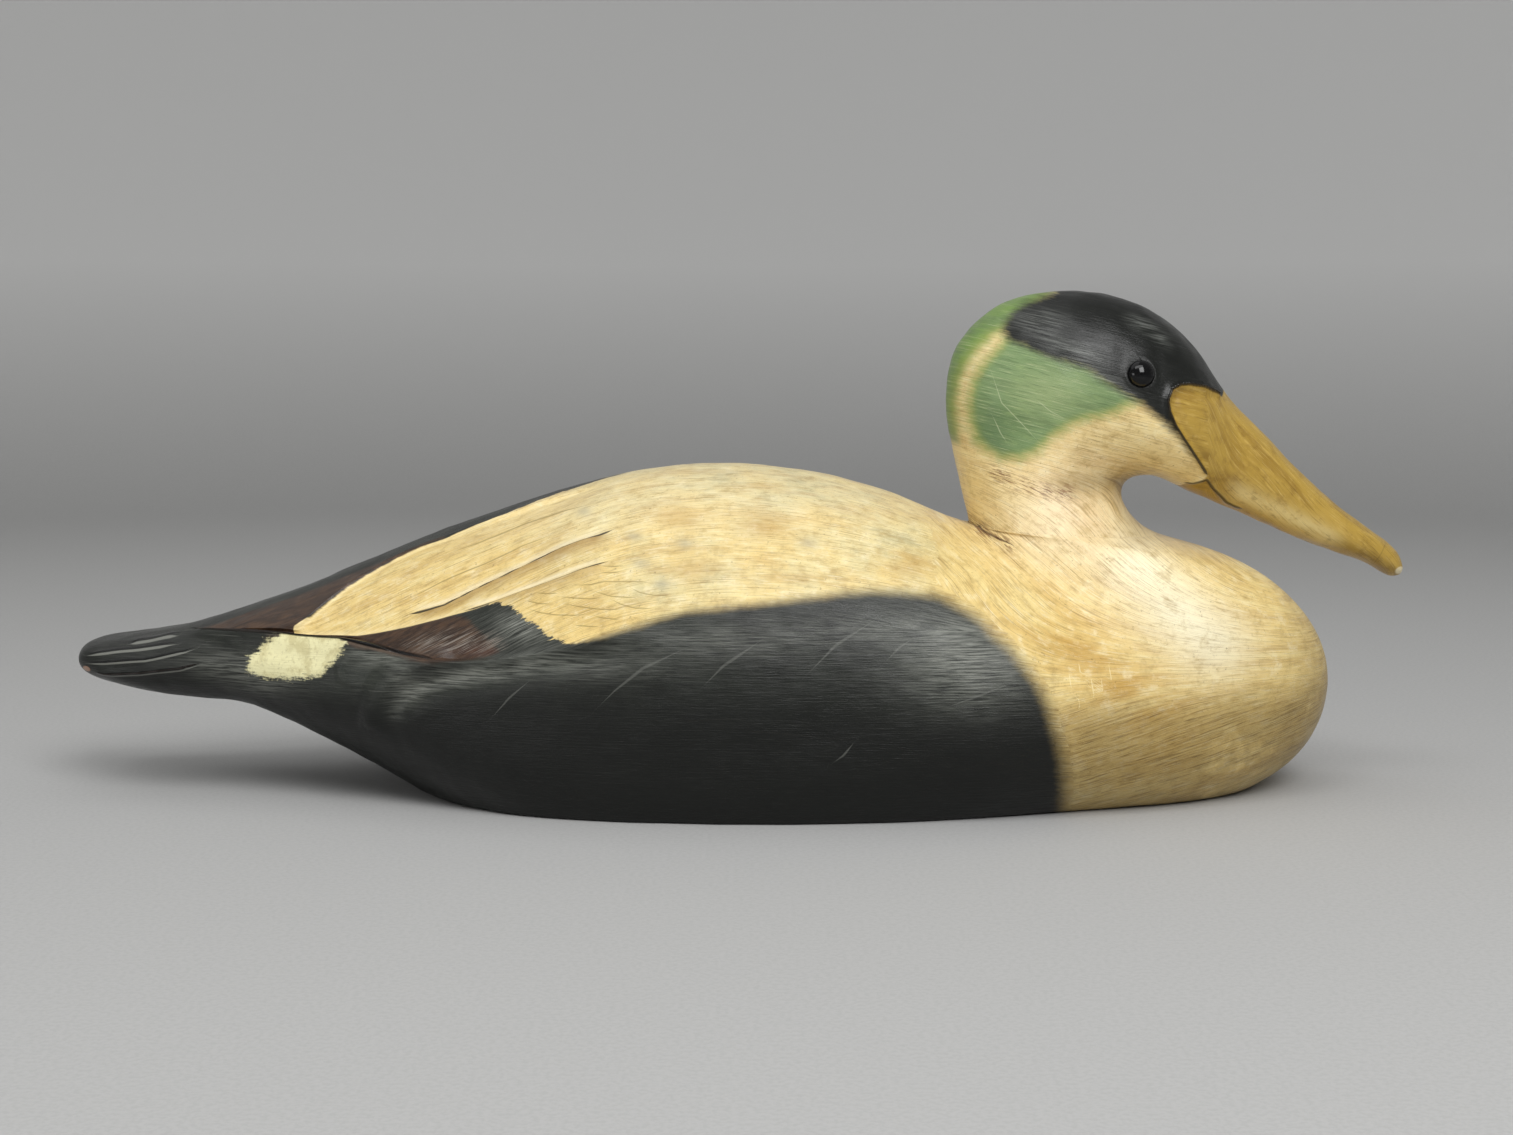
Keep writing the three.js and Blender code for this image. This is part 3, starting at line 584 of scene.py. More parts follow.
# Each kind of line: its lines, their half widths in millimetres, and the share run out at the ends.
body_lines = {
    "cut": ([UPPER_FOLD, WING_CRACK], [0.48, 0.8], 0.06),
    "cut_2": ([LOWER_FOLD, TAIL_FEATHERS_LOWER], [0.40, 0.42], 0.1),
    "crack": ([OPEN_CRACK], 0.95, 0.25),
    "stroke": (FLANK_STROKES, [0.4, 0.6, 0.6, 0.55, 0.4, 0.45, 0.45], 0.5),
    "tail": ([TAIL_FEATHERS_UPPER, TAIL_FEATHERS_THIRD], 0.42, 0.2),
    "tail_2": ([TAIL_FEATHERS_SECOND, TAIL_FEATHERS_LOWER], [0.42, 0.6], 0.2),
    "seam": ([NAPE_CRACK], 0.45, 0.3),
    "nick": (NICKS, 0.3, 0.4),
}
feather_labels = [f"feather_{number}" for number in range(len(FEATHER_LINES))]
for label, group in zip(feather_labels, FEATHER_LINES):
    body_lines[label] = (group, 0.25, 0.3)
body_fields = {}
for label, (lines, half_width, share) in body_lines.items():
    offset, reach = drawn(side_x, side_z, lines, half_width, share)
    body_fields[label], body_fields[label + "_reach"] = offset, reach

# The side view crosses more than one surface, so each kind of line is kept to its own.
on_wing_edge = np.abs(around_ring - edge[:, None]) < 0.03
off_the_fold = below_tertials & ~on_wing_edge & (side_z < 66)
body_fields["cut_reach"] = np.where(off_the_fold, 0, body_fields["cut_reach"])
body_fields["crack_reach"] = np.where(on_wing_edge, body_fields["crack_reach"], 0)
for label in ("tail", "tail_2"):
    body_fields[label] = body_fields[label] - 0.3
    body_fields[label + "_reach"] = body_fields[label + "_reach"] * on_tail
on_feathers = above_tertials | (side_x > -80)
for label in feather_labels:
    body_fields[label + "_reach"] = np.where(on_feathers, body_fields[label + "_reach"], 0)
fold_offset, fold_along, _ = nearest_on_lines(side_x, side_z, [UPPER_FOLD])
fold_offset_2, fold_along_2, _ = nearest_on_lines(side_x, side_z, [LOWER_FOLD])


def lip(offset, along):
    """A painted highlight on a fold: paler paint in a bell 0.9 mm wide, 1.2 mm above the line."""
    return bell(offset - 1.2, 0.9) * ends(along, 0.12)


def hollow(offset, along):
    """Painted shade and dirt below a fold, from 1 at the line to 0 in 5.5 mm."""
    return fade(0.3, -0.2, offset) * fade(-5.5, -0.3, offset) * ends(along, 0.1)


def spots(x, z, places, width, height):
    """Soft spots: the sum of exp(-(x/width)^2 - (z/height)^2) about some places."""
    return sum(np.exp(-(((x - a) / width) ** 2) - ((z - b) / height) ** 2) for a, b in places)


def pink_tone(x, z):
    """Where the cream shows pink: one soft spot on the neck."""
    return spots(x, z, [(122, 108)], 24, 20)


def throat_shade(x, z):
    """Painted shade on the cream: a bell 5 mm high under the jaw, and the neck's front edge, where
    four fades meet."""
    under_jaw = 0.8 * bell(z - 117, 5) * fade(106, 124, x) * fade(156, 144, x)
    neck_edge = 0.55 * fade(136, 149, x) * fade(92, 99, z) * fade(122, 114, z) * fade(166, 156, x)
    return np.clip(under_jaw + neck_edge, 0, 1)


def lit_tone(x, z):
    """Where the cream is lightened by a painted highlight: soft spots down the front of the breast
    and on the neck, and a fifth of it from the neck up."""
    front = 0.8 * spots(x, z, [(144, 90), (157, 73), (172, 60)], 15, 12)
    neck = 0.35 * spots(x, z, [(112, 98)], 16, 14)
    return np.clip(front + neck + 0.2 * fade(90, 112, z), 0, 0.95)


TORN_GRAIN = [
    [(88, 101), (92, 98), (98, 95)], [(103, 117), (112, 115), (121, 113.5)], [(94, 121), (99, 119)],
]


def torn_grain(x, z):
    """Where knife and rasp tore the wood at the nape: a bell 3 mm wide along short lines."""
    return 0.9 * bell(nearest_on_lines(x, z, TORN_GRAIN)[0], 3)


# Smudges and stains on the back. On the black, wear with a painted sheen: grey on its upper part,
# along the pocket's rim, on the rump lobe and at the front of the flank; and painted glints along
# the rim and on a few spots.
SMUDGES = [(-38.5, 100), (-35, 91), (-27.5, 84.5), (-58, 108), (-20, 98), (24, 98)]
STAINS = [(-22, 106), (-17, 90), (60, 90), (8, 103)]
OCHRE_PLACES = [(107, 74), (119, 62), (132, 50), (148, 42)]
wear_and_sheen = 0.03 + 0.6 * fade(30, 72, side_z) + 0.5 * bell(rim_offset - 6, 5) * ends(rim_along, 0.2)
glint = 0.95 * bell(rim_offset - 4.8, 2.8) * fade(-45, -105, side_x) * ends(rim_along, 0.35)
for strength, places, width, height in [
    (0.8, [(-140, 50)], 16, 9), (0.6, [(76, 58)], 26, 15),
]:
    wear_and_sheen += strength * spots(side_x, side_z, places, width, height)
for strength, places, width, height in [
    (0.7, [(-130, 55.5)], 13, 2.6), (0.6, [(-120, 47)], 6, 6),
    (0.3, [(-56, 57), (-10, 66), (60, 70)], 34, 5), (0.45, [(-190, 50), (-176, 44)], 16, 5),
    (0.9, [(-78, 69)], 10, 5), (0.8, [(80, 58)], 20, 13),
]:
    glint += strength * spots(side_x, side_z, places, width, height)


def slanted(x, z, angle, middle):
    """A second way of the brush, straight in the side view and slanting down towards the bill:
    the place about a middle, turned by an angle."""
    x, z = x - middle[0], z - middle[1]
    cos, sin = np.cos(angle), np.sin(angle)
    return np.stack([x * cos - z * sin, x * sin + z * cos, 0 * x], -1)


body_brush = brush_ways(body_places, body_around)
breast_slant = np.radians(42 * fade(35, 90, side_z) - 14 * fade(62, 38, side_z))
on_breast = slanted(side_x, side_z, breast_slant, (118, 80))
on_flank = slanted(side_x, side_z, 0, (0, 0))
second_body_brush = np.where(side_edge[..., None] > 0, on_breast, on_flank)
crossed_on_cream = fade(1, 4, side_edge) * fade(58, 82, side_x)
crossed_on_black = fade(-1, -3, side_edge) * (around_ring > edge[:, None])
# Low on the breast a brown wash that is partly painted shade; painted shade along the breast's
# front edge and under the jaw. The lit field is a painted highlight, and the rim field is paler
# paint along the tertials' lower edge, partly wear and partly a painted highlight.
low_breast_wash_and_shade = (fade(51, 31, side_z) - 0.2 * fade(20, 6, side_z)) * fade(90, 124, side_x)
front_edge_shade = 0.45 * fade(196, 224, side_x) * fade(20, 40, side_z)
body_fields |= {
    "cream_edge": cream_edge, "edge_softness": flank_softness, "brush_teeth": brush_teeth,
    "brown": np.clip(np.maximum(brown_above, brown_below), -10, 10),
    "scuffed": np.clip(scuffed, -10, 10),
    "patch_edge": patch_edge,
    "wear_and_sheen": np.clip(wear_and_sheen, 0, 1), "glint": np.clip(glint, 0, 1),
    "smudge": np.clip(0.9 * spots(side_x, side_z, SMUDGES, 3.2, 1.6), 0, 1),
    "stain": np.clip(0.8 * spots(side_x, side_z, STAINS, 9, 4), 0, 1),
    "lit": lit_tone(side_x, side_z),
    "ochre": np.clip(0.8 * spots(side_x, side_z, OCHRE_PLACES, 12, 9), 0, 0.8),
    "reddish": spots(side_x, side_z, [(-92, 60.5)], 12, 2),
    "pale": fade(-78, -42, side_x) * fade(88, 55, side_x) * fade(72, 84, side_z),
    "across": np.where(side_edge > 0, crossed_on_cream, crossed_on_black),
    "browned_and_shaded": np.clip(low_breast_wash_and_shade + front_edge_shade + throat_shade(side_x, side_z), 0, 1),
    "pink": pink_tone(side_x, side_z),
    "torn": torn_grain(side_x, side_z),
    "rim": fade(2.4, 0.9, cream_edge) * (cream_edge > -2) * fade(-84, -92, side_x),
    "bare_wood": 2.0 - np.hypot(side_x + 248, (side_z - 46.4) * 1.6),
    "lip": lip(fold_offset, fold_along) + lip(fold_offset_2, fold_along_2),
    "hollow": hollow(fold_offset, fold_along) + 0.7 * hollow(fold_offset_2, fold_along_2),
}
body_skin = rounded_tip(body_skin, body_skin[0].mean(0), rows=4)
carved_body = make_skin("carved_body", body_skin, body_fields, [body_brush, second_body_brush])


def linear(hex_colour):
    """sRGB hex to linear light: c/12.92 up to 0.04045, else ((c + 0.055)/1.055)^2.4."""
    channels = np.array([int(hex_colour[i:i + 2], 16) / 255 for i in (1, 3, 5)])
    low = channels / 12.92
    high = ((channels + 0.055) / 1.055) ** 2.4
    return (*np.where(channels <= 0.04045, low, high), 1.0)


def add_node(tree, kind, inputs=(), output=0, **settings):
    """Adds one node with its settings, gives each input a value or another node's output, and
    returns an output."""
    node = tree.nodes.new("ShaderNode" + kind)
    for label, value in settings.items():
        setattr(node, label, value)
    for socket, value in dict(inputs).items():
        if isinstance(value, bpy.types.NodeSocket):
            tree.links.new(value, node.inputs[socket])
        else:
            node.inputs[socket].default_value = value
    return node.outputs[output] if node.outputs else node


def new_finish(name):
    """An empty material, its tree, and the object coordinates of its piece in millimetres."""
    material = bpy.data.materials.new(name)
    material.use_nodes = True
    tree = material.node_tree
    tree.nodes.clear()
    metres = add_node(tree, "TexCoord", output="Object")
    mm = add_node(tree, "VectorMath", {0: metres, "Scale": 1000.0}, operation="SCALE")
    return material, tree, mm


def cloud(tree, mm, size, shift=0.0):
    """Soft blotches as noise about 0.5, of one size in millimetres."""
    placed = add_node(tree, "Mapping", {
        "Vector": mm, "Location": (shift,) * 3, "Scale": (1 / size,) * 3,
    })
    return add_node(tree, "TexNoise", {
        "Vector": placed, "Scale": 1.0, "Detail": 6.0, "Roughness": 0.66,
    })


def strokes(tree, way, size, shift, detail=3.0):
    """Brush strokes as noise about 0.5, stretched to size: millimetres along the brush's way, and
    across it."""
    placed = add_node(tree, "Mapping", {
        "Vector": way, "Location": (shift, 0.7 * shift, 0), "Scale": (1 / size[0], 1 / size[1], 1),
    })
    return add_node(tree, "TexNoise", {
        "Vector": placed, "Scale": 1.0, "Detail": detail, "Roughness": 0.66,
    }, noise_dimensions="2D")


def brush_marks(tree, mm):
    """The marks of a brush, shared by all paints of a piece. Its way follows the form, and jumps
    to the second way where the "across" field says so, as one stroke overlaps the next."""
    mottled = cloud(tree, mm, 6)
    across = add_node(tree, "Attribute", output="Fac", attribute_name="across")
    nudged = add_node(tree, "Math", {0: mottled, 1: 0.9, 2: across}, operation="MULTIPLY_ADD")
    turned = add_node(tree, "Math", {0: nudged, 1: 0.95}, operation="GREATER_THAN")
    first_way = add_node(tree, "Attribute", output="Vector", attribute_name="brush")
    second_way = add_node(tree, "Attribute", output="Vector", attribute_name="second_brush")
    way = add_node(tree, "Mix", {
        0: turned, 4: first_way, 5: second_way,
    }, output=1, data_type="VECTOR")
    return {
        "mottled": mottled,
        "cloudy": cloud(tree, mm, 30, 17),
        "broad": strokes(tree, way, (38, 9), 11),
        "dabs": strokes(tree, way, (9, 2.2), 31, 5.0),
        "hairs": strokes(tree, way, (13, 0.6), 5, 5.0),
        "specks": cloud(tree, mm, 1.1, 5),
        "scratches": strokes(tree, way, (30, 0.35), 47, 2.0),
        "frays": strokes(tree, way, (6, 0.8), 61),
    }


def coat(tree, under, paint, share, strength=1.0):
    """One coat over another: share * strength of it covers."""
    covers = add_node(tree, "Math", {0: share, 1: strength}, operation="MULTIPLY")
    return add_node(tree, "Mix", {0: covers, 6: under, 7: paint}, output=2, data_type="RGBA")


def marked(tree, under, paint, noise, start, full, strength):
    """A coat that covers by its strength where noise passes from one level to the other."""
    covers = add_node(tree, "MapRange", {
        "Value": noise, "From Min": start, "From Max": full, "To Max": strength,
    }, interpolation_type="SMOOTHSTEP")
    return add_node(tree, "Mix", {0: covers, 6: under, 7: paint}, output=2, data_type="RGBA")


def layered(tree, colour, marks, coats):
    """Coats laid one over another. Each is its hex colour, the brush mark it follows, the levels of
    that mark where it starts and where it is full, and its strength."""
    for paint, mark, start, full, strength in coats:
        colour = marked(tree, colour, linear(paint), marks[mark], start, full, strength)
    return colour


def paint_up_to(tree, wander, fray, label, softness, teeth):
    """How fully paint covers inside a drawn edge, from the distance kept under the label: two
    noises, times the teeth, make the edge wander and fray, and it fades over its softness."""
    distance = add_node(tree, "Attribute", output="Fac", attribute_name=label)
    both = add_node(tree, "Math", {0: wander, 1: fray}, operation="ADD")
    centred = add_node(tree, "Math", {0: both, 1: -1.0}, operation="ADD")
    frayed = add_node(tree, "Math", {0: centred, 1: teeth, 2: distance}, operation="MULTIPLY_ADD")
    relative = add_node(tree, "Math", {0: frayed, 1: softness}, operation="DIVIDE")
    return add_node(tree, "MapRange", {
        "Value": relative, "From Min": -1.0, "From Max": 1.0,
    }, interpolation_type="SMOOTHSTEP")


def on_lines(tree, label, moved=0.0):
    """1 on the lines drawn under this label and 0 past their half width: the offset, moved by some
    millimetres, as a share of the reach kept with it."""
    offset = add_node(tree, "Attribute", output="Fac", attribute_name=label)
    reach = add_node(tree, "Attribute", output="Fac", attribute_name=label + "_reach")
    shifted = add_node(tree, "Math", {0: offset, 1: moved}, operation="ADD")
    far = add_node(tree, "Math", {0: shifted}, operation="ABSOLUTE")
    least = add_node(tree, "Math", {0: reach, 1: 0.02}, operation="MAXIMUM")
    used = add_node(tree, "Math", {0: far, 1: least}, operation="DIVIDE")
    return add_node(tree, "MapRange", {
        "Value": used, "From Min": 1.2, "From Max": 0.4,
    }, interpolation_type="SMOOTHSTEP")


def skin_relief(tree, layers):
    """Normals of a surface whose height is the sum of each share times its millimetres."""
    height = 0.0
    for share, thickness in layers:
        height = add_node(tree, "Math", {
            0: share, 1: thickness, 2: height,
        }, operation="MULTIPLY_ADD")
    return add_node(tree, "Bump", {"Height": height, "Distance": 0.001, "Strength": 1.0})


def satin_surface(tree, marks, colour, normal):
    """The satin gloss of old oil paint, duller where the broad strokes are heavy."""
    satin = add_node(tree, "MapRange", {
        "Value": marks["broad"], "From Min": 0.3, "From Max": 0.7, "To Min": 0.28, "To Max": 0.40,
    })
    surface = add_node(tree, "BsdfPrincipled", {
        "Base Color": colour, "Roughness": satin, "IOR": 1.47, "Specular IOR Level": 0.42,
        "Normal": normal,
    })
    add_node(tree, "OutputMaterial", {"Surface": surface})


def cream_oil_paint(tree, marks):
    """Colour of the old cream paint: ivory on the back and honey elsewhere, laid in soft streaks,
    greyed in blotches, dirty in its fine grain, lightened by a painted highlight down the breast,
    and darkened by a brown wash that is partly painted shade low on the breast, and by painted
    shade under the jaw."""
    pale, browned_and_shaded, pink, torn, lit, ochre = (
        add_node(tree, "Attribute", output="Fac", attribute_name=label)
        for label in ("pale", "browned_and_shaded", "pink", "torn", "lit", "ochre")
    )
    colour = layered(tree, linear("#E9CD86"), marks, [
        ("#DFD09A", "cloudy", 0.30, 0.62, pale),
        ("#C3A05C", "broad", 0.48, 0.32, 0.42),
        ("#F3E0A0", "broad", 0.52, 0.68, 0.45),
    ])
    colour = coat(tree, colour, linear("#DDB28C"), pink, 0.45)
    colour = layered(tree, colour, marks, [("#C79E50", "broad", 0.72, 0.30, ochre)])
    # A painted highlight down the breast and on the neck.
    colour = coat(tree, colour, linear("#FFF9DC"), lit, 0.8)
    greyed = add_node(tree, "Math", {0: pale, 1: 0.5, 2: 0.12}, operation="MULTIPLY_ADD")
    colour = layered(tree, colour, marks, [
        ("#AFA983", "cloudy", 0.52, 0.70, greyed),
        ("#B29659", "mottled", 0.50, 0.30, 0.45),
        ("#FBEFC6", "mottled", 0.52, 0.72, 0.45),
        ("#A88A50", "dabs", 0.46, 0.30, 0.38),
        ("#FBEFC4", "dabs", 0.54, 0.72, 0.38),
        ("#8A6C39", "scratches", 0.44, 0.27, 0.5),
        ("#745729", "hairs", 0.45, 0.24, 0.5),
        ("#FFF8DA", "hairs", 0.57, 0.76, 0.38),
        ("#6B4F25", "specks", 0.60, 0.72, 0.6),
    ])
    wash_colour_with_shade = layered(tree, coat(tree, colour, linear("#7C6330"), 1.0, 0.66), marks, [
        ("#57421D", "hairs", 0.52, 0.28, 0.5),
        ("#5A441D", "scratches", 0.46, 0.30, 0.4),
    ])
    # The brown wash, partly painted shade, low on the breast; painted shade under the jaw.
    colour = marked(tree, colour, wash_colour_with_shade, marks["cloudy"], 0.12, 0.46, browned_and_shaded)
    return marked(tree, colour, linear("#744A28"), marks["frays"], 0.48, 0.62, torn)


def black_oil_paint(tree, marks):
    """Colour of the thin lamp-black paint: almost black, dusty in clouds, and rubbed to grey along
    brush marks and long scratches where hands and the rasped wood wore it, with a painted sheen
    over its upper and rounded parts and painted glints along brush marks."""
    wear_and_sheen, glint = (
        add_node(tree, "Attribute", output="Fac", attribute_name=label)
        for label in ("wear_and_sheen", "glint")
    )
    # Dust, wear and a painted sheen grey the black; the glint coat is a painted highlight.
    dust_and_sheen_film = add_node(tree, "Math", {0: wear_and_sheen, 1: 0.55}, operation="MULTIPLY")
    worn = add_node(tree, "Math", {0: wear_and_sheen, 1: 0.35}, operation="MULTIPLY")
    return layered(tree, linear("#060805"), marks, [
        ("#434840", "cloudy", 0.16, 0.76, dust_and_sheen_film),
        ("#3C3E37", "mottled", 0.34, 0.76, worn),
        ("#54564E", "hairs", 0.50, 0.78, worn),
        ("#94968D", "hairs", 0.30, 0.70, glint),
        ("#8F9088", "scratches", 0.66, 0.76, worn),
        ("#060705", "hairs", 0.42, 0.28, 0.5),
    ])


# Oil paint on carved softwood: a satin skin with brush marks, its edges frayed by the brush, dark
# with dirt and painted shade in the cuts and under the folds, with painted highlights on the lips
# of the folds, and bare wood where the tail is chipped.
body_paint, tree, mm = new_finish("worn_oil_paint_on_carved_softwood")
marks = brush_marks(tree, mm)
cream = cream_oil_paint(tree, marks)
black = black_oil_paint(tree, marks)
torn, bare, softness, teeth = (
    add_node(tree, "Attribute", output="Fac", attribute_name=label)
    for label in ("torn", "bare_wood", "edge_softness", "brush_teeth")
)
# Stains and smudges; dirt with painted shade below the folds; a painted highlight on the lips of
# the folds; and paler paint along the tertials' lower edge, partly wear and partly a painted
# highlight.
for label, paint, strength in [
    ("stain", "#B98F45", 0.5), ("smudge", "#A9A48E", 0.6), ("hollow", "#8E672C", 0.62),
    ("lip", "#FFF6D6", 0.55), ("rim", "#F6E6B2", 0.4),
]:
    share = add_node(tree, "Attribute", output="Fac", attribute_name=label)
    cream = coat(tree, cream, linear(paint), share, strength)
for label in feather_labels:
    cream = coat(tree, cream, linear("#8F7A3E"), on_lines(tree, label), 0.62)
brown = layered(tree, linear("#37271D"), marks, [
    ("#523C2B", "dabs", 0.40, 0.66, 1.0), ("#1E1713", "hairs", 0.46, 0.30, 0.7),
])
reddish = add_node(tree, "Attribute", output="Fac", attribute_name="reddish")
brown = coat(tree, brown, linear("#5A3026"), reddish, 0.35)
brown_share = paint_up_to(tree, marks["mottled"], marks["frays"], "brown", 1.2, 2.0)
dark = coat(tree, black, brown, brown_share, 0.94)
scuff_share = paint_up_to(tree, marks["mottled"], marks["frays"], "scuffed", 2.5, 3.0)
dark = layered(tree, dark, marks, [("#857C72", "hairs", 0.46, 0.66, scuff_share)])
# A painted highlight on the lip of the open crack, pale flank strokes, and on the tail a painted
# highlight beside each groove and painted shade in it.
for label, moved, paint, strength in [
    ("crack", 1.4, "#7F7163", 0.25), ("stroke", 0.0, "#74756F", 0.36),
    ("tail", 1.05, "#A3A49B", 0.45), ("tail", 0.3, "#030303", 0.95),
    ("tail_2", 1.05, "#A3A49B", 0.45), ("tail_2", 0.3, "#030303", 0.95),
]:
    dark = coat(tree, dark, linear(paint), on_lines(tree, label, moved), strength)
cream_share = paint_up_to(tree, marks["mottled"], marks["frays"], "cream_edge", softness, teeth)
colour = coat(tree, dark, cream, cream_share)
marks["stipple"] = cloud(tree, mm, 1.3, 29)
patch_share = paint_up_to(tree, marks["frays"], marks["stipple"], "patch_edge", 0.9, 5.0)
patch = layered(tree, linear("#EDE7B6"), marks, [
    ("#CFC592", "mottled", 0.46, 0.64, 0.8), ("#A59A6C", "stipple", 0.52, 0.68, 0.4),
])
colour = coat(tree, colour, patch, patch_share)
cuts = add_node(tree, "Math", {
    0: on_lines(tree, "cut"), 1: on_lines(tree, "cut_2"),
}, operation="MAXIMUM")
crack = on_lines(tree, "crack")
seam = on_lines(tree, "seam")
bare_share = add_node(tree, "MapRange", {
    "Value": bare, "From Min": -0.3, "From Max": 0.4,
}, interpolation_type="SMOOTHSTEP")
# Painted shade in the creases of the folds and the lowest tail groove, and the dark gap of the
# crack at the wing's edge; then the open crack, the filled seam at the nape, pale nicks and the
# chip.
for paint, share, strength in [
    ("#1A110A", cuts, 0.92), ("#040303", crack, 1.0), ("#4A2D16", seam, 0.8),
    ("#F6E7B4", on_lines(tree, "nick"), 0.6), ("#B08A74", bare_share, 0.85),
]:
    colour = coat(tree, colour, linear(paint), share, strength)
torn_splits = add_node(tree, "Math", {0: torn, 1: marks["frays"]}, operation="MULTIPLY")
ground = skin_relief(tree, [
    (marks["dabs"], 0.12), (marks["hairs"], 0.15), (marks["scratches"], 0.06), (cream_share, 0.05),
    (patch_share, 0.08), (torn_splits, -0.9), (cuts, -0.7), (crack, -1.2), (seam, -0.3),
    (bare_share, -0.25), (on_lines(tree, "tail", 0.3), -0.4), (on_lines(tree, "tail_2", 0.3), -0.4),
])
satin_surface(tree, marks, colour, ground)
carved_body.data.materials.append(body_paint)
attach(carved_body, "root")
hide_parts("body")


# Carved head
# Neck, head and bill cut from a second block, glued and filled on the body. The bill stands out
# from the face behind a knife-cut border, and the paint is brushed on in thin coats.

BILL_BORDER = [
    (181, 149), (172.4, 152.8), (165.9, 153.9), (162, 153.7), (158.6, 152), (157, 148),
    (157.7, 144), (160, 139), (163.8, 133.6), (168.1, 128), (171.6, 123.5), (174.2, 120),
]
GAPE_LINE = [(166.5, 116.6), (170, 117), (174.2, 118.6), (177.5, 115), (184, 109.6), (191, 106)]
EYE_PLACE = (147, 158)
HEAD_LINES = 96
HEAD_SPACING = 1.15
HEAD_LONG_WAVE, HEAD_SHORT_WAVE = (0.14, 17), (0.06, 7)

head_places = even_places(NECK_JOINT, BILL_TIP, lambda x: np.full_like(x, HEAD_SPACING))
head_stations = bird_at(head_places)
head_around = np.broadcast_to(np.linspace(0, 1, HEAD_LINES + 1), (len(head_places), HEAD_LINES + 1))
head_form = both_sides(section(head_stations[:, None, :], head_around))
head_normal = outward(head_form)
face_x, face_z = head_form[..., 0], head_form[..., 2]
eye_distance = np.hypot(face_x - EYE_PLACE[0], face_z - EYE_PLACE[1])

# The border of the bill is a knife cut with the bill's edge swelling behind it. The gape is a finer
# cut, a shallow ring lies round each eye, and the tool marks run out at the neck joint.
border_offset, border_along, _ = nearest_on_lines(face_x, face_z, [BILL_BORDER])
head_relief = 1.0 * bell(border_offset - 2.4, 1.9) * ends(border_along, 0.1)
head_relief -= cut(face_x, face_z, BILL_BORDER, 1.5, 1.0, 0.05)
head_relief -= cut(face_x, face_z, GAPE_LINE, 0.8, 0.8)
head_relief -= 0.5 * bell(eye_distance - 5.6, 0.8)
from_joint = fade(NECK_JOINT, NECK_JOINT + 1.5, head_places)[:, None]
for seed, (rise, wavelength) in enumerate((HEAD_LONG_WAVE, HEAD_SHORT_WAVE), 7):
    head_relief += rise * tool_marks(head_form, wavelength, seed) * from_joint
head_skin = head_form + head_normal * head_relief[..., None]

# Outlines of the painted fields of the head, in the side view.
CAP = [
    (118.4, 189), (112.4, 186.3), (106.6, 184.2), (101.4, 181), (98.6, 177.4), (97.3, 173.6),
    (99.3, 170), (103.5, 167.9), (108.8, 165.7), (114.1, 163.1), (121.1, 161.1), (126.5, 159.7),
    (131.1, 156.3), (135.6, 153.4), (140.9, 149.8), (146.5, 147), (150.1, 143.7), (153.9, 141.1),
    (158.1, 137.3), (162.3, 133.4), (165.3, 130), (169.9, 125.4), (176, 120), (200, 140),
    (195, 175), (150, 205), (122, 205),
]
CHEEK = [
    (96.5, 168.4), (91, 162.6), (86.5, 155.5), (85.1, 147.7), (85.2, 140.5), (87.6, 133.1),
    (91.2, 129.5), (96.4, 126.7), (103.5, 126.9), (109.1, 129), (112.5, 132.6), (117.1, 136.3),
    (121.6, 139.3), (126.8, 141.5), (132.4, 142.2), (137.8, 144), (142.9, 146.7), (147.5, 148),
    (141, 152.5), (135.6, 156), (126.5, 162), (114, 166), (103.5, 170.5), (99.3, 172),
]
NAPE = [
    (97.3, 174), (93.2, 172.3), (87.7, 166.4), (83.6, 160.5), (81.5, 155), (80.5, 147.7),
    (80.7, 140.3), (81.3, 132.5), (60, 132), (60, 215), (118.4, 215), (118.4, 189),
]
BILL = [
    (181, 149), *BILL_BORDER[1:], (171, 116.5), (168, 117), (160, 100), (270, 60), (270, 120),
    (192, 160),
]
SCRATCHES = [
    [(92, 161), (96.5, 147), (105, 138), (112, 130.5)], [(93, 143), (96, 136), (99, 131.5)],
    [(108, 149), (114, 144), (120, 141)],
]
NAIL_GROOVE = [(247.5, 95), (244.5, 91.5), (242, 87), (241, 83)]
BILL_HIGHLIGHT_BAND = [(180, 118), (188, 112.5), (200, 106.6), (212, 100.8), (223, 95), (231, 91)]
# Paler lines on the cap: the first is a painted highlight along the crown, the second a worn band.
CAP_WEAR_AND_HIGHLIGHT = [[(140, 181), (152, 174.5), (162, 166)], [(106, 173), (120, 168), (138, 162)]]
PAST_THE_LINE = 0.8
head_fields = {}
for label, (lines, half_width, share) in {
    "scratch": (SCRATCHES, 0.2, 0.4), "border": ([BILL_BORDER], 0.6, 0.04),
    "gape": ([GAPE_LINE], 0.55, 0.1), "nail": ([NAIL_GROOVE], 0.3, 0.3),
}.items():
    offset, reach = drawn(face_x, face_z, lines, half_width, share)
    head_fields[label], head_fields[label + "_reach"] = offset, reach
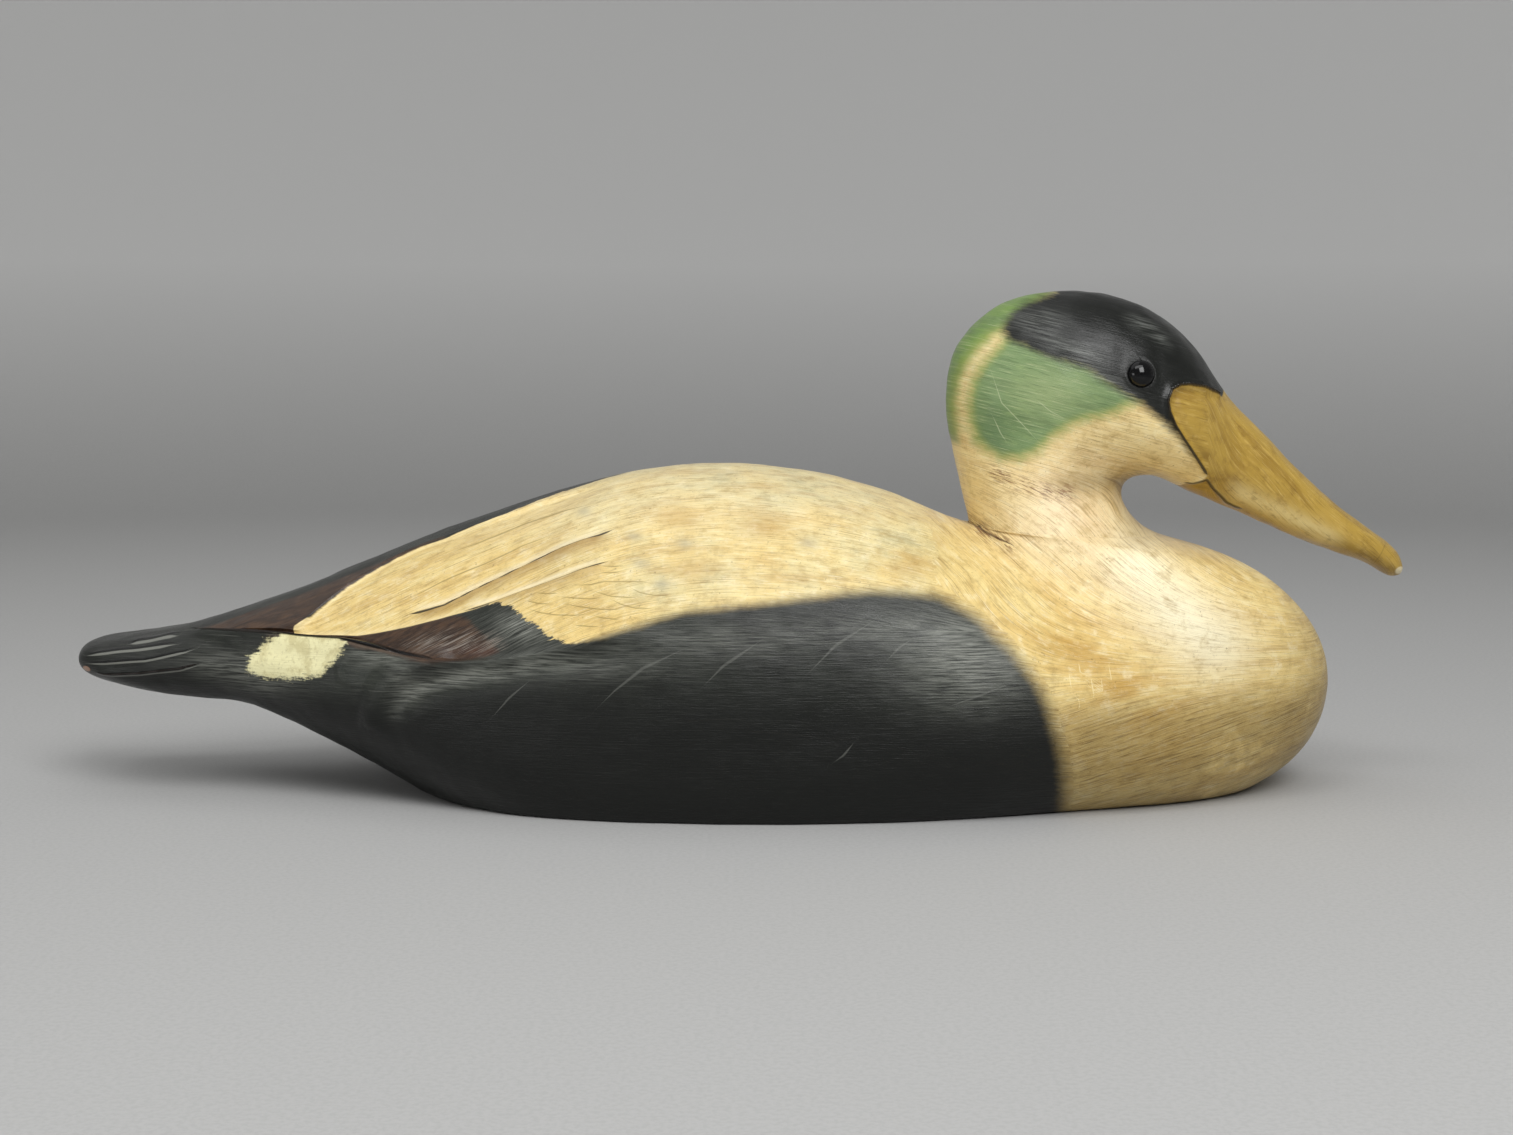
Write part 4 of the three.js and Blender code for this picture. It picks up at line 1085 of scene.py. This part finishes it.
# A painted highlight band low on the side of the bill.
low_offset, low_along, _ = nearest_on_lines(face_x, face_z, [BILL_HIGHLIGHT_BAND])
cap_mark_offset, cap_mark_along, _ = nearest_on_lines(face_x, face_z, CAP_WEAR_AND_HIGHLIGHT)
cap_wear_and_highlight = spots(face_x, face_z + 0.6 * (face_x - 133), [(133, 153)], 12, 6)
cap_wear_and_highlight += 0.8 * spots(face_x, face_z, [(110, 177)], 9, 4.5)
cap_wear_and_highlight += 0.7 * bell(cap_mark_offset, 2.6) * ends(cap_mark_along, 0.35)
slant = np.radians(np.interp(head_places, [19, 20.2, 22.4], [42, 36, 14]))[:, None]
second_head_brush = slanted(face_x, face_z, slant, (118, 116))
head_fields |= {
    "cap_edge": inside_outline(face_x, face_z, CAP),
    "cheek_edge": inside_outline(face_x, face_z, CHEEK) + PAST_THE_LINE,
    "nape_edge": inside_outline(face_x, face_z, NAPE) + PAST_THE_LINE,
    "bill_edge": inside_outline(face_x, face_z, BILL),
    "pale": 0.25 * fade(150, 120, face_z) + 0.3 * fade(104, 92, face_x) * fade(128, 136, face_z),
    "across": np.broadcast_to(fade(28.6, 27.6, head_places)[:, None], face_x.shape),
    "browned_and_shaded": throat_shade(face_x, face_z),
    "pink": pink_tone(face_x, face_z),
    "torn": torn_grain(face_x, face_z),
    "lit": lit_tone(face_x, face_z),
    "ochre": 0 * face_x, "glint": 0 * face_x,
    "wear_and_sheen": np.clip(0.08 + 0.45 * cap_wear_and_highlight, 0, 1), "cap_wear_and_highlight": cap_wear_and_highlight,
    "bill_highlight": bell(low_offset, 3.4) * ends(low_along, 0.2),
    "bare_tip": 2.2 - np.hypot(face_x - 252, (face_z - 82.5) * 1.4),
    "brushed_thin": spots(face_x, face_z, [(112, 151)], 15, 9),
    "deep_green": spots(face_x, face_z, [(94, 137)], 8, 12),
}
head_brush = brush_ways(head_places, head_around)
carved_head = make_skin("carved_head", head_skin, head_fields, [head_brush, second_head_brush])


def green_oil_paint(tree, marks, edge_label, full):
    """Colour of the thin green paint: pale where the brush ran dry, deep low on the cheek, and
    yellowed by the cream under its soft edge."""
    edge_distance, deep, thin = (
        add_node(tree, "Attribute", output="Fac", attribute_name=label)
        for label in (edge_label, "deep_green", "brushed_thin")
    )
    colour = layered(tree, linear(full), marks, [("#57734A", "broad", 0.52, 0.36, 0.6)])
    colour = coat(tree, colour, linear("#9BAC7C"), thin, 0.6)
    colour = coat(tree, colour, linear("#4E7048"), deep, 0.75)
    colour = layered(tree, colour, marks, [
        ("#BBC496", "hairs", 0.54, 0.74, 0.5),
        ("#46603C", "hairs", 0.46, 0.28, 0.5),
        ("#8AA26A", "dabs", 0.54, 0.70, 0.4),
    ])
    rim = add_node(tree, "MapRange", {
        "Value": edge_distance, "From Min": 4.5, "From Max": 0.3,
    }, interpolation_type="SMOOTHSTEP")
    return coat(tree, colour, linear("#9AA350"), rim, 0.6)


# Oil paint brushed thinly on carved softwood: cream face and neck with painted shade under the jaw,
# green nape and cheek, a black cap worn grey and given a painted highlight along the crown, and an
# ochre bill glazed darker along its grain, with painted shadow in its border cut and a painted
# highlight band low on its side.
head_paint, tree, mm = new_finish("brushed_oil_paint_on_carved_softwood")
marks = brush_marks(tree, mm)
cream = cream_oil_paint(tree, marks)
black = black_oil_paint(tree, marks)
cap_wear_and_highlight_share, bill_highlight_share, bill_distance, bare = (
    add_node(tree, "Attribute", output="Fac", attribute_name=label)
    for label in ("cap_wear_and_highlight", "bill_highlight", "bill_edge", "bare_tip")
)
# The cap greyed by wear, and by a painted highlight along the crown.
black = layered(tree, black, marks, [("#6A6C68", "hairs", 0.38, 0.66, cap_wear_and_highlight_share)])
cheek_share = paint_up_to(tree, marks["mottled"], marks["frays"], "cheek_edge", 3.2, 4.0)
nape_share = paint_up_to(tree, marks["mottled"], marks["frays"], "nape_edge", 2.2, 2.0)
cap_share = paint_up_to(tree, marks["mottled"], marks["frays"], "cap_edge", 2.4, 3.0)
bill_share = add_node(tree, "MapRange", {"Value": bill_distance, "From Min": -0.3, "From Max": 0.3})
colour = coat(tree, cream, green_oil_paint(tree, marks, "cheek_edge", "#728F60"), cheek_share, 0.96)
colour = coat(tree, colour, green_oil_paint(tree, marks, "nape_edge", "#6C8E45"), nape_share, 0.96)
colour = coat(tree, colour, linear("#D8DEB8"), on_lines(tree, "scratch"), 0.35)
colour = coat(tree, colour, black, cap_share)
bill = layered(tree, linear("#B0903F"), marks, [("#8C6C2A", "broad", 0.52, 0.34, 0.6)])
# A painted highlight band low on the bill's side.
bill = coat(tree, bill, linear("#EAD698"), bill_highlight_share, 0.9)
bill = layered(tree, bill, marks, [
    ("#C9AA5E", "dabs", 0.52, 0.70, 0.5),
    ("#7A5A22", "mottled", 0.52, 0.68, 0.42),
    ("#64491B", "hairs", 0.44, 0.28, 0.5),
    ("#DCC688", "hairs", 0.57, 0.76, 0.4),
])
colour = coat(tree, colour, bill, bill_share)
border = on_lines(tree, "border")
gape = on_lines(tree, "gape")
bare_share = add_node(tree, "MapRange", {
    "Value": bare, "From Min": -0.4, "From Max": 0.5,
}, interpolation_type="SMOOTHSTEP")
# A painted shadow in the bill's border cut, a dark line in the gape cut, the nail and the chip.
for paint, share, strength in [
    ("#181109", border, 0.88), ("#181109", gape, 0.8), ("#4A3416", on_lines(tree, "nail"), 0.3),
    ("#F0E3BC", bare_share, 0.8),
]:
    colour = coat(tree, colour, linear(paint), share, strength)
ground = skin_relief(tree, [
    (marks["dabs"], 0.09), (marks["hairs"], 0.11), (marks["scratches"], 0.05), (border, -0.3),
    (gape, -0.25), (cap_share, 0.04),
])
satin_surface(tree, marks, colour, ground)
carved_head.data.materials.append(head_paint)
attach(carved_head, "root")
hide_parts("head")


# Eyes
# Two eyes of pressed black glass, 10 mm across and flatter than a ball. Each is bedded in putty in
# a socket on the side of the head, so that only its dome stands out.

EYE_RADIUS = 5.1
EYE_HALF_DEPTH = 3.6
EYE_SEAT = 0.6
EYE_RINGS, EYE_LINES = 32, 64

nearest_skin = np.argmin(eye_distance[:, : HEAD_LINES + 1])
eye_point = head_form[:, : HEAD_LINES + 1].reshape(-1, 3)[nearest_skin]
eye_facing = head_normal[:, : HEAD_LINES + 1].reshape(-1, 3)[nearest_skin]


def glass_eye(name, mirror):
    """A flattened ball: radius * cos(a) across and half depth * sin(a) along the facing normal."""
    across = np.cross(eye_facing, [0, 0, 1])
    across /= np.linalg.norm(across)
    upward = np.cross(across, eye_facing)
    rise = np.linspace(-np.pi / 2, np.pi / 2, EYE_RINGS + 2)[1:-1]
    turn = np.linspace(0, 2 * np.pi, EYE_LINES, endpoint=False)
    ring = np.cos(turn)[:, None] * across + np.sin(turn)[:, None] * upward
    centre = eye_point - EYE_SEAT * eye_facing
    rings = centre + EYE_RADIUS * np.cos(rise)[:, None, None] * ring
    rings = rings + EYE_HALF_DEPTH * np.sin(rise)[:, None, None] * eye_facing
    if mirror:
        rings = (rings * [1, -1, 1])[:, ::-1]
    return make_skin(name, rings[:, ::-1], {})


# Polished glass, black right through, so that it shows only what it mirrors.
eye_glass, tree, mm = new_finish("polished_black_glass")
surface = add_node(tree, "BsdfPrincipled", {
    "Base Color": linear("#050506"), "Roughness": 0.08, "IOR": 1.52, "Specular IOR Level": 0.3,
})
add_node(tree, "OutputMaterial", {"Surface": surface})
for eye_name, node_name, mirror in (
    ("glass_eye_right", "eye_right", False), ("glass_eye_left", "eye_left", True),
):
    eye = glass_eye(eye_name, mirror)
    eye.data.materials.append(eye_glass)
    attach(eye, "root")
    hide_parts(node_name)


# Studio
# Pale grey paper that runs up into a wall all round. A window-like light from the front right draws
# the sheen, a strip light over the camera and a wide one overhead light the back, and a low one
# from the left fills the tail.

MIDDLE_RADIUS = 0.3
FLOOR_ROWS, BEND_ROWS, COVE_LINES = 8, 24, 96


def paper_cove(flat, bend, wall):
    """Surface of revolution: a flat disc, a quarter circle of the bend's radius that turns it up,
    and an upright wall, all in metres."""
    angle = np.linspace(0, np.pi / 2, BEND_ROWS)[1:]
    floor = np.linspace(MIDDLE_RADIUS, flat, FLOOR_ROWS)
    radius = np.concatenate([floor, flat + bend * np.sin(angle), [flat + bend]])[:, None]
    height = np.concatenate([0 * floor, bend * (1 - np.cos(angle)), [bend + wall]])[:, None]
    turn = np.linspace(0, 2 * np.pi, COVE_LINES, endpoint=False)
    rings = np.stack([radius * np.cos(turn), radius * np.sin(turn), height + 0 * turn], -1)
    count = len(turn)
    first = np.arange(len(radius) - 1)[:, None] * count + np.arange(count)
    second = np.roll(first, -1, 1)
    quads = np.stack([first, first + count, second + count, second], -1).reshape(-1, 4)
    middle = [list(range(count))]
    mesh = bpy.data.meshes.new("paper_cove")
    mesh.from_pydata(rings.reshape(-1, 3).tolist(), [], quads.tolist() + middle)
    mesh.shade_smooth()
    cove = bpy.data.objects.new("paper_cove", mesh)
    bpy.context.collection.objects.link(cove)
    return cove


cove = paper_cove(1.5, 1.2, 0.8)
floor_paper, tree, mm = new_finish("matt_grey_paper")
paper = marked(tree, linear("#B1B1B0"), linear("#A6A6A5"), cloud(tree, mm, 1.6), 0.40, 0.65, 0.6)
rise = add_node(tree, "SeparateXYZ", {0: mm}, output=2)
on_wall = add_node(tree, "MapRange", {"Value": rise, "From Min": 0.0, "From Max": 280.0})
paper = coat(tree, paper, linear("#DEDEDD"), on_wall)
surface = add_node(tree, "BsdfPrincipled", {"Base Color": paper, "Roughness": 0.9})
add_node(tree, "OutputMaterial", {"Surface": surface})
cove.data.materials.append(floor_paper)


def soft_light(name, place, target, size, brightness):
    """A flat oblong light whose face has the given radiance: power = pi * area * radiance."""
    lamp = bpy.data.lights.new(name, "AREA")
    lamp.shape = "RECTANGLE"
    lamp.size, lamp.size_y = size
    lamp.energy = math.pi * size[0] * size[1] * brightness
    light = bpy.data.objects.new(name, lamp)
    place, target = np.array(place, float), np.array(target, float)
    back = (place - target) / np.linalg.norm(place - target)
    side = np.cross([0, 0, 1] if abs(back[2]) < 0.99 else [0, 1, 0], back)
    side /= np.linalg.norm(side)
    rows = np.eye(4)
    rows[:3, 0], rows[:3, 1], rows[:3, 2], rows[:3, 3] = side, np.cross(back, side), back, place
    light.matrix_world = rows.T
    light.visible_camera = False
    bpy.context.collection.objects.link(light)


soft_light("overhead_light", (-0.45, 0.1, 1.3), (0, 0, 0), (1.3, 1.3), 0.6)
soft_light("top_front_light", (0.0, -0.75, 1.45), (0, 0, 0.08), (1.3, 0.5), 3.6)
soft_light("window_light", (0.512, -1.407, 1.25), (0.05, 0, 0.08), (0.8, 0.9), 9.0)
soft_light("side_light", (-1.5, -1.26, 0.42), (0, 0, 0.08), (0.8, 0.5), 3.0)

room = bpy.data.worlds.new("room")
room.use_nodes = True
tree = room.node_tree
tree.nodes.clear()
backdrop = add_node(tree, "Background", {"Color": linear("#FFFFFF"), "Strength": 0.31})
add_node(tree, "OutputWorld", {"Surface": backdrop})
bpy.context.scene.world = room
bpy.context.scene.view_settings.view_transform = "Standard"
